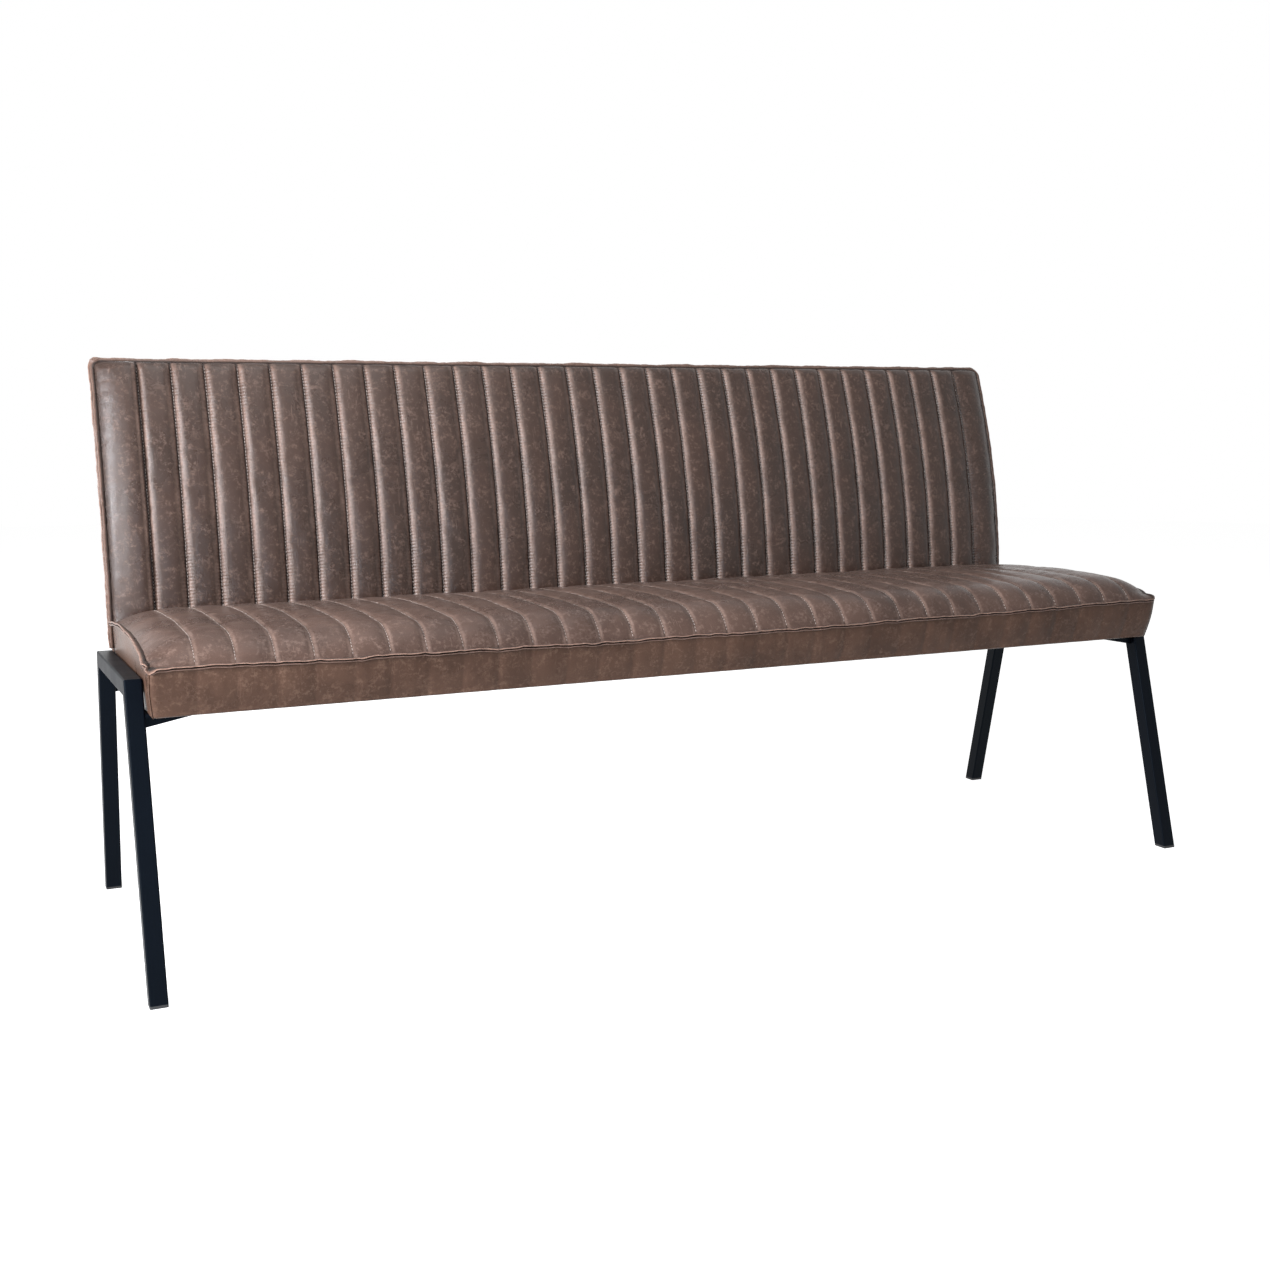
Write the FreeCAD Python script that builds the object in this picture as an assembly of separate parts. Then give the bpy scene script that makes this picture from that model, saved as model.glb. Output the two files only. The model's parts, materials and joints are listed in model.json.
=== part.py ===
"""Dining bench: channel-quilted seat and back on two splayed steel end frames.

Millimetres, +Z up, +X along the bench, the sitter faces -Y. The origin lies on the floor under
the middle of the bench. The seat and back are drawn in a level frame (v back, w up) whose zero
is the lower front edge of the seat, and are then tipped a little towards the rear.
"""
import math
import os

import FreeCAD
import Part

# End frames: square steel tube, two splayed legs and a sloping top rail on each end
FRAME_LENGTH = 1800.0        # over the outer faces of both end frames
TUBE = 25.0
TUBE_WALL = 2.0
TUBE_CORNER = 2.5
FRONT_FOOT_Y = -324.4        # front face of the front leg at the floor
REAR_FOOT_BEHIND_SEAT = 102.6    # rear face of the rear leg at the floor, behind the seat's rear wall
FRONT_SPLAY = 15.2           # degrees from upright
REAR_SPLAY = 11.9
RAIL_FRONT_HEIGHT = 430.0    # top of the rail where it meets the front leg
TILT = 2.35                  # degrees that the rail and the seat fall towards the rear

# Glides pressed into the leg ends
GLIDE_BASE = 4.0
GLIDE_PLUG = 16.0
GLIDE_CLEARANCE = 0.2

# Seat: place, outline and crown
SEAT_BEHIND_FRONT_FOOT = 69.4    # lower front edge of the seat
SEAT_BELOW_RAIL = 46.0       # the same edge, below the top of the rail's front corner
SEAT_DEPTH = 421.0           # lower front edge to the back
SEAT_END_GAP = 14.0          # lower edge of the seat to the frame's inner face
SEAT_END_FLARE = 9.0         # how far an end wall leans out over its flare height
SEAT_FRONT_FLARE = 13.0
FLARE_HEIGHT = 70.0
SEAT_CORNER = 14.0           # plan radius of the seat corners
CROWN_HEIGHT = 114.0         # highest seam line above the lower edge
CROWN_PEAK_SETBACK = 161.0   # from the seat's rear wall
CROWN_RADIUS = 2500.0
FRONT_ROLL_V = 42.0          # where the crown turns into the front roll
FRONT_ROLL_RADIUS = 70.0
FRONT_SEAM_HEIGHT = 66.0
SEAT_END_DROP = 8.0          # how far the last channel falls to the end seam
FOAM_SKIRT = 12.0            # lowest edge of the foam that wraps the timber, above the lower edge

# Quilting: sewn channels, in line on the seat and the back
CHANNELS = 32
END_CHANNEL = 55.0           # width of the first and last channel
PANEL_THICKNESS = 3.0        # leather and lining at a seam
SEAT_PANEL_OVERHANG = 7.0    # past the lower edge of the seat's ends
SEAT_BULGE = 2.6
BACK_BULGE = 4.4

# Raised edge seam, leather cover and dust covers
SEAM_THICKNESS = 2.4
SEAM_STANDOUT = 6.0
LEATHER = 2.0
DUST_COVER = 0.8

# Back: a straight foot behind the seat, then an arc that leans back
BACK_GAP = 7.0               # quilting level behind the seat's rear wall
BACK_ARC_START = 81.0        # height above the seat's lower edge
BACK_RADIUS = 1240.0
BACK_ARC = 20.1              # degrees
BACK_END_GAP = 7.0           # side of the back to the frame's inner face
BACK_FOAM = 26.0
BACK_BOARD = 4.0
BACK_TIMBER = 20.0
BACK_WADDING = 6.0

# Timber frames
RAIL_THICKNESS = 27.0
RAIL_HEIGHT = 45.0
END_RAIL_WIDTH = 45.0
CROSS_RAILS = 4
CROSS_RAIL_HEIGHT = 35.0
BACK_FOOT_HEIGHT = 60.0
BACK_POST_WIDTH = 50.0
BACK_INNER_POSTS = 3
BACK_TOP_RAIL = 45.0

# Elastic webbing over the seat frame
STRAPS = 13
STRAP_WIDTH = 60.0
STRAP_THICKNESS = 1.5

# Brackets under the seat, one welded to each leg
BRACKET_LENGTH = 85.0
BRACKET_PLATE = 4.0
BRACKET_WEB_DEPTH = 16.0
BRACKET_EDGE = 14.0          # plate past its screws and its web
WEB_TO_SCREW = 14.0          # front bracket's web to its first screw
FRONT_SCREW_SPACING = 24.0
BRACKET_SCREW_INSET = 45.0   # from the frame's inner face
NOTCH_CLEARANCE = 1.0        # dust cover round a bracket

# Hexagon-head coach screws
SCREW = 8.0
SCREW_CLEARANCE = 0.1
SCREW_HEAD_ACROSS = 13.0
SCREW_HEAD_HEIGHT = 5.3
SCREW_GRIP = 32.0            # length inside the last timber
BACK_SCREWS = 3
BACK_SCREW_HEIGHT = 22.0
SLIT = 12.0                  # square opening in the leather round a screw

# Sizes that follow from the ones above
FRAME_INNER_X = FRAME_LENGTH / 2 - TUBE
SEAT_FRONT_Y = FRONT_FOOT_Y + SEAT_BEHIND_FRONT_FOOT
SEAT_FRONT_Z = RAIL_FRONT_HEIGHT - SEAT_BELOW_RAIL
REAR_FOOT_Y = SEAT_FRONT_Y + SEAT_DEPTH + REAR_FOOT_BEHIND_SEAT
SEAT_HALF_LENGTH = FRAME_INNER_X - SEAT_END_GAP
SEAT_PANEL_HALF_LENGTH = SEAT_HALF_LENGTH + SEAT_PANEL_OVERHANG
BACK_HALF_LENGTH = FRAME_INNER_X - BACK_END_GAP
CROWN_PEAK_V = SEAT_DEPTH - CROWN_PEAK_SETBACK
BACK_FACE_V = SEAT_DEPTH + BACK_GAP
BACK_SHELL_DEPTH = PANEL_THICKNESS + BACK_FOAM + BACK_BOARD + BACK_TIMBER + BACK_WADDING
TIMBER_FRONT = PANEL_THICKNESS + BACK_FOAM + BACK_BOARD
SEAT_INNER_HALF = SEAT_HALF_LENGTH - LEATHER
BACK_INNER_HALF = BACK_HALF_LENGTH - LEATHER
FOAM_BASE = RAIL_HEIGHT + STRAP_THICKNESS
OUTER_SEAM_X = SEAT_PANEL_HALF_LENGTH - END_CHANNEL
CHANNEL_PITCH = 2 * OUTER_SEAM_X / (CHANNELS - 2)
ABOVE = 60.0                 # reach of the cutting tools past a surface

V = FreeCAD.Vector


def export(node, shape):
    """Write one piece, or one group of like pieces, as a named node."""
    shape.exportStep("parts/%s.step" % node)


def tipped(shape):
    """Place a shape drawn in the seat's level frame on the tilted seat line."""
    turn = FreeCAD.Rotation(V(1, 0, 0), -TILT)
    placed = shape.copy()
    placed.Placement = FreeCAD.Placement(V(0, SEAT_FRONT_Y, SEAT_FRONT_Z), turn).multiply(placed.Placement)
    return placed


def level_place(y, z):
    """Seat-frame coordinates (v, w) of a point given in the bench's own Y and Z."""
    tilt = math.radians(TILT)
    dy, dz = y - SEAT_FRONT_Y, z - SEAT_FRONT_Z
    return dy * math.cos(tilt) - dz * math.sin(tilt), dy * math.sin(tilt) + dz * math.cos(tilt)


def box(x0, x1, y0, y1, z0, z1):
    """Block between two corners."""
    return Part.makeBox(x1 - x0, y1 - y0, z1 - z0, V(x0, y0, z0))


def prism(points, x0, x1):
    """Polygon of (y, z) points, extruded along X."""
    wire = Part.makePolygon([V(x0, y, z) for y, z in points + points[:1]])
    return Part.Face(wire).extrude(V(x1 - x0, 0, 0))


def rod(x, y, z, radius, length, axis):
    """Cylinder from a point along an axis."""
    return Part.makeCylinder(radius, length, V(x, y, z), axis)


def hexagon(x, y, z, across, height, axis):
    """Hexagonal prism from a point along an axis, with a flat pair facing X."""
    side_radius = across / math.sqrt(3)
    corners = [V(side_radius * math.sin(math.radians(60 * i)), side_radius * math.cos(math.radians(60 * i)), 0)
               for i in range(7)]
    head = Part.Face(Part.makePolygon(corners)).extrude(V(0, 0, height))
    head.Placement = FreeCAD.Placement(V(x, y, z), FreeCAD.Rotation(V(0, 0, 1), axis))
    return head


def mirrored(shape):
    """The same piece at the other end of the bench."""
    return shape.mirror(V(0, 0, 0), V(1, 0, 0))


# Steel end frames
def crossing(p, d, q, e):
    """Point where the line through p along d meets the line through q along e."""
    t = ((q[0] - p[0]) * e[1] - (q[1] - p[1]) * e[0]) / (d[0] * e[1] - d[1] * e[0])
    return p[0] + t * d[0], p[1] + t * d[1]


def inward(p, d, distance):
    """A point moved square to direction d, to its right-hand side."""
    length = math.hypot(*d)
    return p[0] + d[1] / length * distance, p[1] - d[0] / length * distance


FRONT_DIR = (math.tan(math.radians(FRONT_SPLAY)), 1.0)
RAIL_DIR = (1.0, -math.tan(math.radians(TILT)))
REAR_DIR = (math.tan(math.radians(REAR_SPLAY)), -1.0)
FRONT_FOOT = (FRONT_FOOT_Y, 0.0)
REAR_FOOT = (REAR_FOOT_Y, 0.0)
FRONT_CORNER = (FRONT_FOOT_Y + RAIL_FRONT_HEIGHT * FRONT_DIR[0], RAIL_FRONT_HEIGHT)
REAR_CORNER = crossing(FRONT_CORNER, RAIL_DIR, REAR_FOOT, REAR_DIR)


def outline(offset):
    """The frame's four corners: front foot, front top, rear top and rear foot, drawn in by an offset."""
    front = inward(FRONT_FOOT, FRONT_DIR, offset)
    rail = inward(FRONT_CORNER, RAIL_DIR, offset)
    rear = inward(REAR_FOOT, REAR_DIR, offset)
    top_front = crossing(front, FRONT_DIR, rail, RAIL_DIR)
    top_rear = crossing(rail, RAIL_DIR, rear, REAR_DIR)
    return front, top_front, top_rear, rear


def at_height(p, d, z):
    """Point of a line at a given height."""
    return p[0] + (z - p[1]) * d[0] / d[1], z


def member(index, base):
    """One mitred tube of the left frame: 0 front leg, 1 top rail, 2 rear leg, cut at height base."""
    def quad(offset, depth):
        outer, inner = outline(offset), outline(depth)
        direction = (FRONT_DIR, RAIL_DIR, REAR_DIR)[index]
        a, b, c, d = outer[index], outer[index + 1], inner[index + 1], inner[index]
        if index == 0:
            a, d = at_height(a, direction, base), at_height(d, direction, base)
        if index == 2:
            b, c = at_height(b, direction, base), at_height(c, direction, base)
        return [a, b, c, d]
    x0, x1 = -FRAME_LENGTH / 2, -FRAME_INNER_X
    solid = prism(quad(0.0, TUBE), x0, x1)
    along = V(0, *(FRONT_DIR, RAIL_DIR, REAR_DIR)[index]).normalize()
    edges = [e for e in solid.Edges if abs(abs(e.tangentAt(e.FirstParameter).dot(along)) - 1) < 1e-6]
    solid = solid.makeFillet(TUBE_CORNER, edges)
    bore = prism(quad(TUBE_WALL, TUBE - TUBE_WALL), x0 + TUBE_WALL, x1 - TUBE_WALL)
    return solid.cut(bore)


def glide(index):
    """Plastic foot of one left leg: a base under the tube and a plug inside it."""
    direction = (FRONT_DIR, None, REAR_DIR)[index]
    ends = (0, 3)[index // 2]
    x0, x1 = -FRAME_LENGTH / 2, -FRAME_INNER_X

    def block(inset, z0, z1, x_inset):
        a, b = outline(inset)[ends], outline(TUBE - inset)[ends]
        points = [at_height(a, direction, z0), at_height(a, direction, z1),
                  at_height(b, direction, z1), at_height(b, direction, z0)]
        return prism(points, x0 + x_inset, x1 - x_inset)
    base = block(0.0, 0.0, GLIDE_BASE, 0.0)
    upright = [e for e in base.Edges if e.Length < 2 * GLIDE_BASE]
    base = base.makeFillet(TUBE_CORNER, upright)
    inset = TUBE_WALL + GLIDE_CLEARANCE
    return base.fuse(block(inset, GLIDE_BASE, GLIDE_BASE + GLIDE_PLUG, inset))


def end_frames():
    """Legs, top rails and glides of both ends."""
    names = ("front_leg", "top_rail", "rear_leg")
    for index, name in enumerate(names):
        tube = member(index, GLIDE_BASE)
        export("left_" + name, tube)
        export("right_" + name, mirrored(tube))
    for index, name in ((0, "front_glide"), (2, "rear_glide")):
        foot = glide(index)
        export("left_" + name, foot)
        export("right_" + name, mirrored(foot))


# Quilted surfaces: a section of (x, h) points turned about an axis along X
def toward(angle):
    """Unit vector (v, w) that leans from upright to the front by an angle in degrees."""
    return -math.sin(math.radians(angle)), math.cos(math.radians(angle))


def turned(edges, centre, start, end):
    """Solid of a section turned about the line along X through a centre, between two angles."""
    face = Part.Face(Part.Wire(edges))
    face.rotate(V(0, 0, 0), V(1, 0, 0), start)
    solid = face.revolve(V(0, 0, 0), V(1, 0, 0), end - start)
    solid.translate(V(0, *centre))
    return solid


def ring(points):
    """Closed run of straight edges."""
    return Part.makePolygon(points + points[:1]).Edges


def level_section(radius, low, high, half, drop=0.0):
    """Plain section between two levels, whose ends past the outer seams fall by a drop."""
    def level(h):
        fall = drop * (half - OUTER_SEAM_X) / (SEAT_PANEL_HALF_LENGTH - OUTER_SEAM_X)
        return [V(-half, 0, radius + h - fall), V(-OUTER_SEAM_X, 0, radius + h),
                V(OUTER_SEAM_X, 0, radius + h), V(half, 0, radius + h - fall)]
    return ring(level(low) + level(high)[::-1])


def channel_section(radius, bulge, half, drop=0.0):
    """Section of a quilted panel: one arc for each channel over a flat lining."""
    seams = [(-half, -drop)]
    seams += [((i - CHANNELS / 2) * CHANNEL_PITCH, 0.0) for i in range(1, CHANNELS)]
    seams += [(half, -drop)]
    tops = [V(x, 0, radius + h) for x, h in seams]
    edges = []
    for a, b in zip(tops, tops[1:]):
        crest = (a + b) / 2 + V(0, 0, bulge)
        edges.append(Part.Arc(a, crest, b).toShape())
    under = V(0, 0, PANEL_THICKNESS)
    lining = [tops[-1], tops[-1] - under, V(OUTER_SEAM_X, 0, radius) - under,
              V(-OUTER_SEAM_X, 0, radius) - under, tops[0] - under, tops[0]]
    return edges + Part.makePolygon(lining).Edges


def crown_angle(v):
    """Lean, in degrees, of the crown at a distance from the seat's lower front edge."""
    return math.degrees(math.asin((CROWN_PEAK_V - v) / CROWN_RADIUS))


def seat_arcs(overrun, rear_v):
    """The crown and the front roll of the seat as (centre, radius, start, end)."""
    crown = (CROWN_PEAK_V, CROWN_HEIGHT - CROWN_RADIUS)
    turn = crown_angle(FRONT_ROLL_V)
    lean = toward(turn)
    reach = CROWN_RADIUS - FRONT_ROLL_RADIUS
    roll = (crown[0] + reach * lean[0], crown[1] + reach * lean[1])
    front_end = math.degrees(math.acos((FRONT_SEAM_HEIGHT - roll[1]) / FRONT_ROLL_RADIUS))
    front_end += math.degrees(overrun / FRONT_ROLL_RADIUS)
    return [(crown, CROWN_RADIUS, crown_angle(rear_v), turn), (roll, FRONT_ROLL_RADIUS, turn, front_end)]


def over_seat(section, overrun=0.0, rear_v=SEAT_DEPTH):
    """A section carried over the crown and the front roll of the seat."""
    crown, roll = [turned(section(radius), centre, start, end)
                   for centre, radius, start, end in seat_arcs(overrun, rear_v)]
    return crown.fuse(roll).removeSplitter()


def above_seat(under):
    """Everything above the seat panel's lining, lowered by a distance."""
    half = FRAME_LENGTH / 2
    return over_seat(lambda radius: level_section(radius, -PANEL_THICKNESS - under, ABOVE, half, SEAT_END_DROP),
                     under, SEAT_DEPTH + ABOVE)


# Seat unit
def flared(inset, top, low=0.0):
    """Tapered block inside the seat's border, drawn in by an inset, with rounded upright corners."""
    def lean(flare, w):
        return flare * w / FLARE_HEIGHT
    rear = SEAT_DEPTH - inset
    side = [(inset - lean(SEAT_FRONT_FLARE, w), w) for w in (low, top)] + [(rear, top), (rear, low)]
    half_low, half_top = [SEAT_HALF_LENGTH + lean(SEAT_END_FLARE, w) - inset for w in (low, top)]
    across = [V(-half_low, -SEAT_DEPTH, low), V(half_low, -SEAT_DEPTH, low),
              V(half_top, -SEAT_DEPTH, top), V(-half_top, -SEAT_DEPTH, top)]
    ends = Part.Face(Part.Wire(ring(across))).extrude(V(0, 3 * SEAT_DEPTH, 0))
    block = prism(side, -FRAME_LENGTH, FRAME_LENGTH).common(ends)
    upright = [e for e in block.Edges if abs(e.tangentAt(e.FirstParameter).z) > 0.9]
    return block.makeFillet(SEAT_CORNER - min(inset, LEATHER), upright)


def seat_cover():
    """Quilted top, border strip, raised edge seam and foam of the seat."""
    top = CROWN_HEIGHT + ABOVE / 2
    panel = over_seat(lambda radius: channel_section(radius, SEAT_BULGE, SEAT_PANEL_HALF_LENGTH, SEAT_END_DROP))
    export("seat_quilted_panel", tipped(panel))
    above_lining = above_seat(0.0)
    above_border = above_seat(SEAM_THICKNESS)
    inside = flared(LEATHER, top)
    border = flared(0.0, top).cut(inside).cut(above_border)
    border = max(border.Solids, key=lambda s: s.Volume)
    export("seat_border", tipped(border.cut(leather_slits())))
    seam = flared(-SEAM_STANDOUT, top).cut(inside).common(above_border).cut(above_lining)
    seam = seam.cut(box(-FRAME_LENGTH, FRAME_LENGTH, SEAT_DEPTH - SEAT_CORNER, 2 * SEAT_DEPTH, 0, top))
    seam = max(seam.Solids, key=lambda s: s.Volume)
    export("seat_edge_seam", tipped(seam))
    corner = SEAT_CORNER - LEATHER
    frame_space = box(-SEAT_INNER_HALF, SEAT_INNER_HALF, LEATHER, SEAT_DEPTH, 0, FOAM_BASE)
    front_edges = [e for e in frame_space.Edges if abs(e.tangentAt(e.FirstParameter).z) > 0.9
                   and e.CenterOfMass.y < SEAT_DEPTH / 2]
    frame_space = frame_space.makeFillet(corner, front_edges)
    rear_space = box(-FRAME_LENGTH, FRAME_LENGTH, SEAT_DEPTH - LEATHER - RAIL_THICKNESS, 2 * SEAT_DEPTH,
                     0, FOAM_BASE)
    under_skirt = box(-FRAME_LENGTH, FRAME_LENGTH, -SEAT_DEPTH, 2 * SEAT_DEPTH, 0, FOAM_SKIRT)
    foam = inside.cut(above_lining).cut([frame_space, rear_space, under_skirt])
    foam = max(foam.Solids, key=lambda s: s.Volume)
    export("seat_foam", tipped(foam))


def bracket_screw_places():
    """(x, v) of the bracket screws at the left end, front pair then rear pair."""
    x = -FRAME_INNER_X + BRACKET_SCREW_INSET
    front = leg_middle(FRONT_FOOT, FRONT_DIR) + WEB_TO_SCREW
    seat_rail = SEAT_DEPTH - LEATHER - RAIL_THICKNESS / 2
    back_foot = (SEAT_DEPTH + LEATHER + BACK_FACE_V + TIMBER_FRONT + BACK_TIMBER) / 2
    return [(x, front), (x, front + FRONT_SCREW_SPACING)], [(x, seat_rail), (x, back_foot)]


def leg_middle(foot, direction):
    """Place v, under the seat, of the middle of a left leg's inner face."""
    line = inward(foot, direction, TUBE / 2)
    v = 0.0
    for _ in range(4):
        height = SEAT_FRONT_Z - v * math.sin(math.radians(TILT)) - BRACKET_WEB_DEPTH
        y, z = at_height(line, direction, height)
        v = level_place(y, z)[0]
    return v


def all_bracket_screws():
    """(x, v) of every bracket screw at both ends."""
    front, rear = bracket_screw_places()
    return [(side * x, v) for side in (1, -1) for x, v in front + rear]


def drilled(timber):
    """A timber with a hole from below for each bracket screw."""
    radius = SCREW / 2 + SCREW_CLEARANCE
    return timber.cut([rod(x, v, 0, radius, SCREW_GRIP, V(0, 0, 1)) for x, v in all_bracket_screws()])


def back_screw_xs():
    """Places along the bench of the screws between the seat and the back."""
    span = 2 * (SEAT_INNER_HALF - END_RAIL_WIDTH)
    return [-span / 2 + span * (i + 0.5) / BACK_SCREWS for i in range(BACK_SCREWS)]


def back_screw_holes():
    """Holes through the seat's rear rail and into the back's foot rail."""
    start = SEAT_DEPTH - LEATHER - RAIL_THICKNESS
    length = SEAT_DEPTH + LEATHER + SCREW_GRIP - start
    return [rod(x, start, BACK_SCREW_HEIGHT, SCREW / 2 + SCREW_CLEARANCE, length, V(0, 1, 0))
            for x in back_screw_xs()]


def leather_slits():
    """Square openings in the leather between the seat and the back, one for each screw."""
    half = SLIT / 2
    return [box(x - half, x + half, SEAT_DEPTH - LEATHER, SEAT_DEPTH + LEATHER,
                BACK_SCREW_HEIGHT - half, BACK_SCREW_HEIGHT + half) for x in back_screw_xs()]


def notched(cover):
    """A dust cover with a notch round each bracket."""
    notches = []
    for v0, v1, _ in bracket_spans():
        for side in (-1, 1):
            inner = side * (FRAME_INNER_X - BRACKET_LENGTH - NOTCH_CLEARANCE)
            low, high = sorted((inner, side * FRAME_INNER_X))
            notches.append(box(low, high, v0 - NOTCH_CLEARANCE, v1 + NOTCH_CLEARANCE, -DUST_COVER, 0))
    return cover.cut(notches)


def seat_frame():
    """Timber rails, cross rails, elastic webbing and dust cover of the seat."""
    half = SEAT_INNER_HALF
    front, rear = LEATHER, SEAT_DEPTH - LEATHER
    inner_front, inner_rear = front + RAIL_THICKNESS, rear - RAIL_THICKNESS
    corner_round = SEAT_CORNER - LEATHER

    def rounded(rail):
        posts = [e for e in rail.Edges if abs(e.tangentAt(e.FirstParameter).z) > 0.99
                 and min(abs(e.CenterOfMass.y - front), abs(e.CenterOfMass.y - rear)) < 1e-6]
        return rail.makeFillet(corner_round, posts)
    front_rail = rounded(box(-half, half, front, inner_front, 0, RAIL_HEIGHT))
    rear_rail = rounded(box(-half, half, inner_rear, rear, 0, RAIL_HEIGHT)).cut(back_screw_holes())
    end_rail = box(-half, -half + END_RAIL_WIDTH, inner_front, inner_rear, 0, RAIL_HEIGHT)
    export("seat_front_rail", tipped(front_rail))
    export("seat_rear_rail", tipped(drilled(rear_rail)))
    end_rail = drilled(end_rail)
    export("seat_left_end_rail", tipped(end_rail))
    export("seat_right_end_rail", tipped(mirrored(end_rail)))
    span = 2 * (half - END_RAIL_WIDTH)
    crosses = []
    for i in range(CROSS_RAILS):
        x = -span / 2 + span * (i + 1) / (CROSS_RAILS + 1)
        crosses.append(box(x - RAIL_THICKNESS / 2, x + RAIL_THICKNESS / 2, inner_front, inner_rear,
                           0, CROSS_RAIL_HEIGHT))
    export("seat_cross_rails", tipped(Part.makeCompound(crosses)))
    straps = []
    for i in range(STRAPS):
        x = -span / 2 + span * (i + 0.5) / STRAPS
        straps.append(box(x - STRAP_WIDTH / 2, x + STRAP_WIDTH / 2, front + corner_round, rear - corner_round,
                          RAIL_HEIGHT, FOAM_BASE))
    export("seat_webbing", tipped(Part.makeCompound(straps)))
    cover = box(-SEAT_HALF_LENGTH + SEAT_CORNER, SEAT_HALF_LENGTH - SEAT_CORNER, LEATHER,
                SEAT_DEPTH - LEATHER, -DUST_COVER, 0)
    export("seat_dust_cover", tipped(notched(cover)))


# Back unit
BACK_CENTRE = (BACK_FACE_V + BACK_RADIUS, BACK_ARC_START)


def back_piece(low, high, half, start, end, foot=None):
    """Curved slab of the back between two levels, two arc angles and, if given, down to a foot."""
    half_x = half if isinstance(half, tuple) else (-half, half)
    points = [V(half_x[0], 0, BACK_RADIUS + low), V(half_x[1], 0, BACK_RADIUS + low),
              V(half_x[1], 0, BACK_RADIUS + high), V(half_x[0], 0, BACK_RADIUS + high)]
    solid = turned(ring(points), BACK_CENTRE, 90 - start, 90 - end)
    if foot is None:
        return solid
    straight = box(half_x[0], half_x[1], BACK_FACE_V - high, BACK_FACE_V - low, foot, BACK_ARC_START)
    return solid.fuse(straight).removeSplitter()


def arc_angle(length):
    """Degrees of the back's arc that a length takes up."""
    return math.degrees(length / BACK_RADIUS)


def back_cover():
    """Quilted front, plain rear cover, raised edge seam and lower strip of the back."""
    panel = turned(channel_section(BACK_RADIUS, BACK_BULGE, BACK_HALF_LENGTH), BACK_CENTRE, 90, 90 - BACK_ARC)
    export("back_quilted_panel", tipped(panel))
    seam_low = -PANEL_THICKNESS - SEAM_THICKNESS
    edge = BACK_HALF_LENGTH + SEAM_STANDOUT
    inside = back_piece(-BACK_SHELL_DEPTH, ABOVE, BACK_INNER_HALF, 0, BACK_ARC, -ABOVE)
    shell_top = BACK_ARC + arc_angle(LEATHER)
    shell = back_piece(-BACK_SHELL_DEPTH - LEATHER, seam_low, BACK_HALF_LENGTH, 0, shell_top, 0)
    export("back_rear_cover", tipped(shell.cut(inside)))
    seam_top = BACK_ARC + arc_angle(SEAM_STANDOUT)
    seam = back_piece(seam_low, -PANEL_THICKNESS, edge, 0, seam_top, 0)
    export("back_edge_seam", tipped(seam.cut(inside)))
    strip_rear = SEAT_DEPTH + LEATHER
    strip = box(-BACK_HALF_LENGTH, BACK_HALF_LENGTH, SEAT_DEPTH, strip_rear, 0, BACK_FOOT_HEIGHT)
    export("back_lower_strip", tipped(strip.cut(leather_slits())))
    cover = box(-BACK_INNER_HALF, BACK_INNER_HALF, strip_rear, BACK_FACE_V + BACK_SHELL_DEPTH, -DUST_COVER, 0)
    export("back_dust_cover", tipped(notched(cover)))


def back_frame():
    """Timber frame, board, foam and rear wadding of the back."""
    half = BACK_INNER_HALF
    low = -TIMBER_FRONT - BACK_TIMBER
    top_rail_start = BACK_ARC - arc_angle(BACK_TOP_RAIL)
    inner = half - BACK_POST_WIDTH
    foot_front = SEAT_DEPTH + LEATHER
    foot = box(-half, half, foot_front, BACK_FACE_V - low, 0, BACK_FOOT_HEIGHT)
    export("back_foot_rail", tipped(drilled(foot).cut(back_screw_holes())))

    def post(x0, x1, top):
        return back_piece(low, -TIMBER_FRONT, (x0, x1), 0, top, BACK_FOOT_HEIGHT)
    left = post(-half, -inner, BACK_ARC)
    export("back_left_post", tipped(left))
    export("back_right_post", tipped(mirrored(left)))
    inner_posts = []
    for i in range(BACK_INNER_POSTS):
        x = -inner + 2 * inner * (i + 1) / (BACK_INNER_POSTS + 1)
        inner_posts.append(post(x - BACK_POST_WIDTH / 2, x + BACK_POST_WIDTH / 2, top_rail_start))
    export("back_inner_posts", tipped(Part.makeCompound(inner_posts)))
    top_rail = back_piece(low, -TIMBER_FRONT, inner, top_rail_start, BACK_ARC)
    export("back_top_rail", tipped(top_rail))
    board_front = -PANEL_THICKNESS - BACK_FOAM
    board = back_piece(-TIMBER_FRONT, board_front, half, 0, BACK_ARC, BACK_FOOT_HEIGHT)
    export("back_board", tipped(board))
    foam = back_piece(board_front, -PANEL_THICKNESS, half, 0, BACK_ARC, BACK_FOOT_HEIGHT)
    export("back_foam", tipped(foam))
    wadding = back_piece(-BACK_SHELL_DEPTH, low, half, 0, BACK_ARC, 0)
    export("back_rear_wadding", tipped(wadding))


# Brackets and screws
def bracket_spans():
    """(first v, last v, web v) of the front and the rear bracket plates."""
    spans = []
    webs = (leg_middle(FRONT_FOOT, FRONT_DIR), leg_middle(REAR_CORNER, REAR_DIR))
    for screws, web in zip(bracket_screw_places(), webs):
        places = [v for _, v in screws] + [web]
        spans.append((min(places) - BRACKET_EDGE, max(places) + BRACKET_EDGE, web))
    return spans


def bracket(screws, v0, v1, web_v):
    """Plate under the seat with a tapered web, welded to the inner face of a left leg."""
    x0, x1 = -FRAME_INNER_X, -FRAME_INNER_X + BRACKET_LENGTH
    plate = box(x0, x1, v0, v1, -BRACKET_PLATE, 0)
    radius = SCREW / 2 + SCREW_CLEARANCE
    plate = plate.cut([rod(x, v, -BRACKET_PLATE, radius, BRACKET_PLATE, V(0, 0, 1)) for x, v in screws])
    low = -BRACKET_PLATE
    rear = web_v - BRACKET_PLATE / 2
    corners = [V(x0, rear, low), V(x0, rear, low - BRACKET_WEB_DEPTH), V(x1, rear, low), V(x0, rear, low)]
    web = Part.Face(Part.makePolygon(corners)).extrude(V(0, BRACKET_PLATE, 0))
    return plate.fuse(web).removeSplitter()


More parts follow.
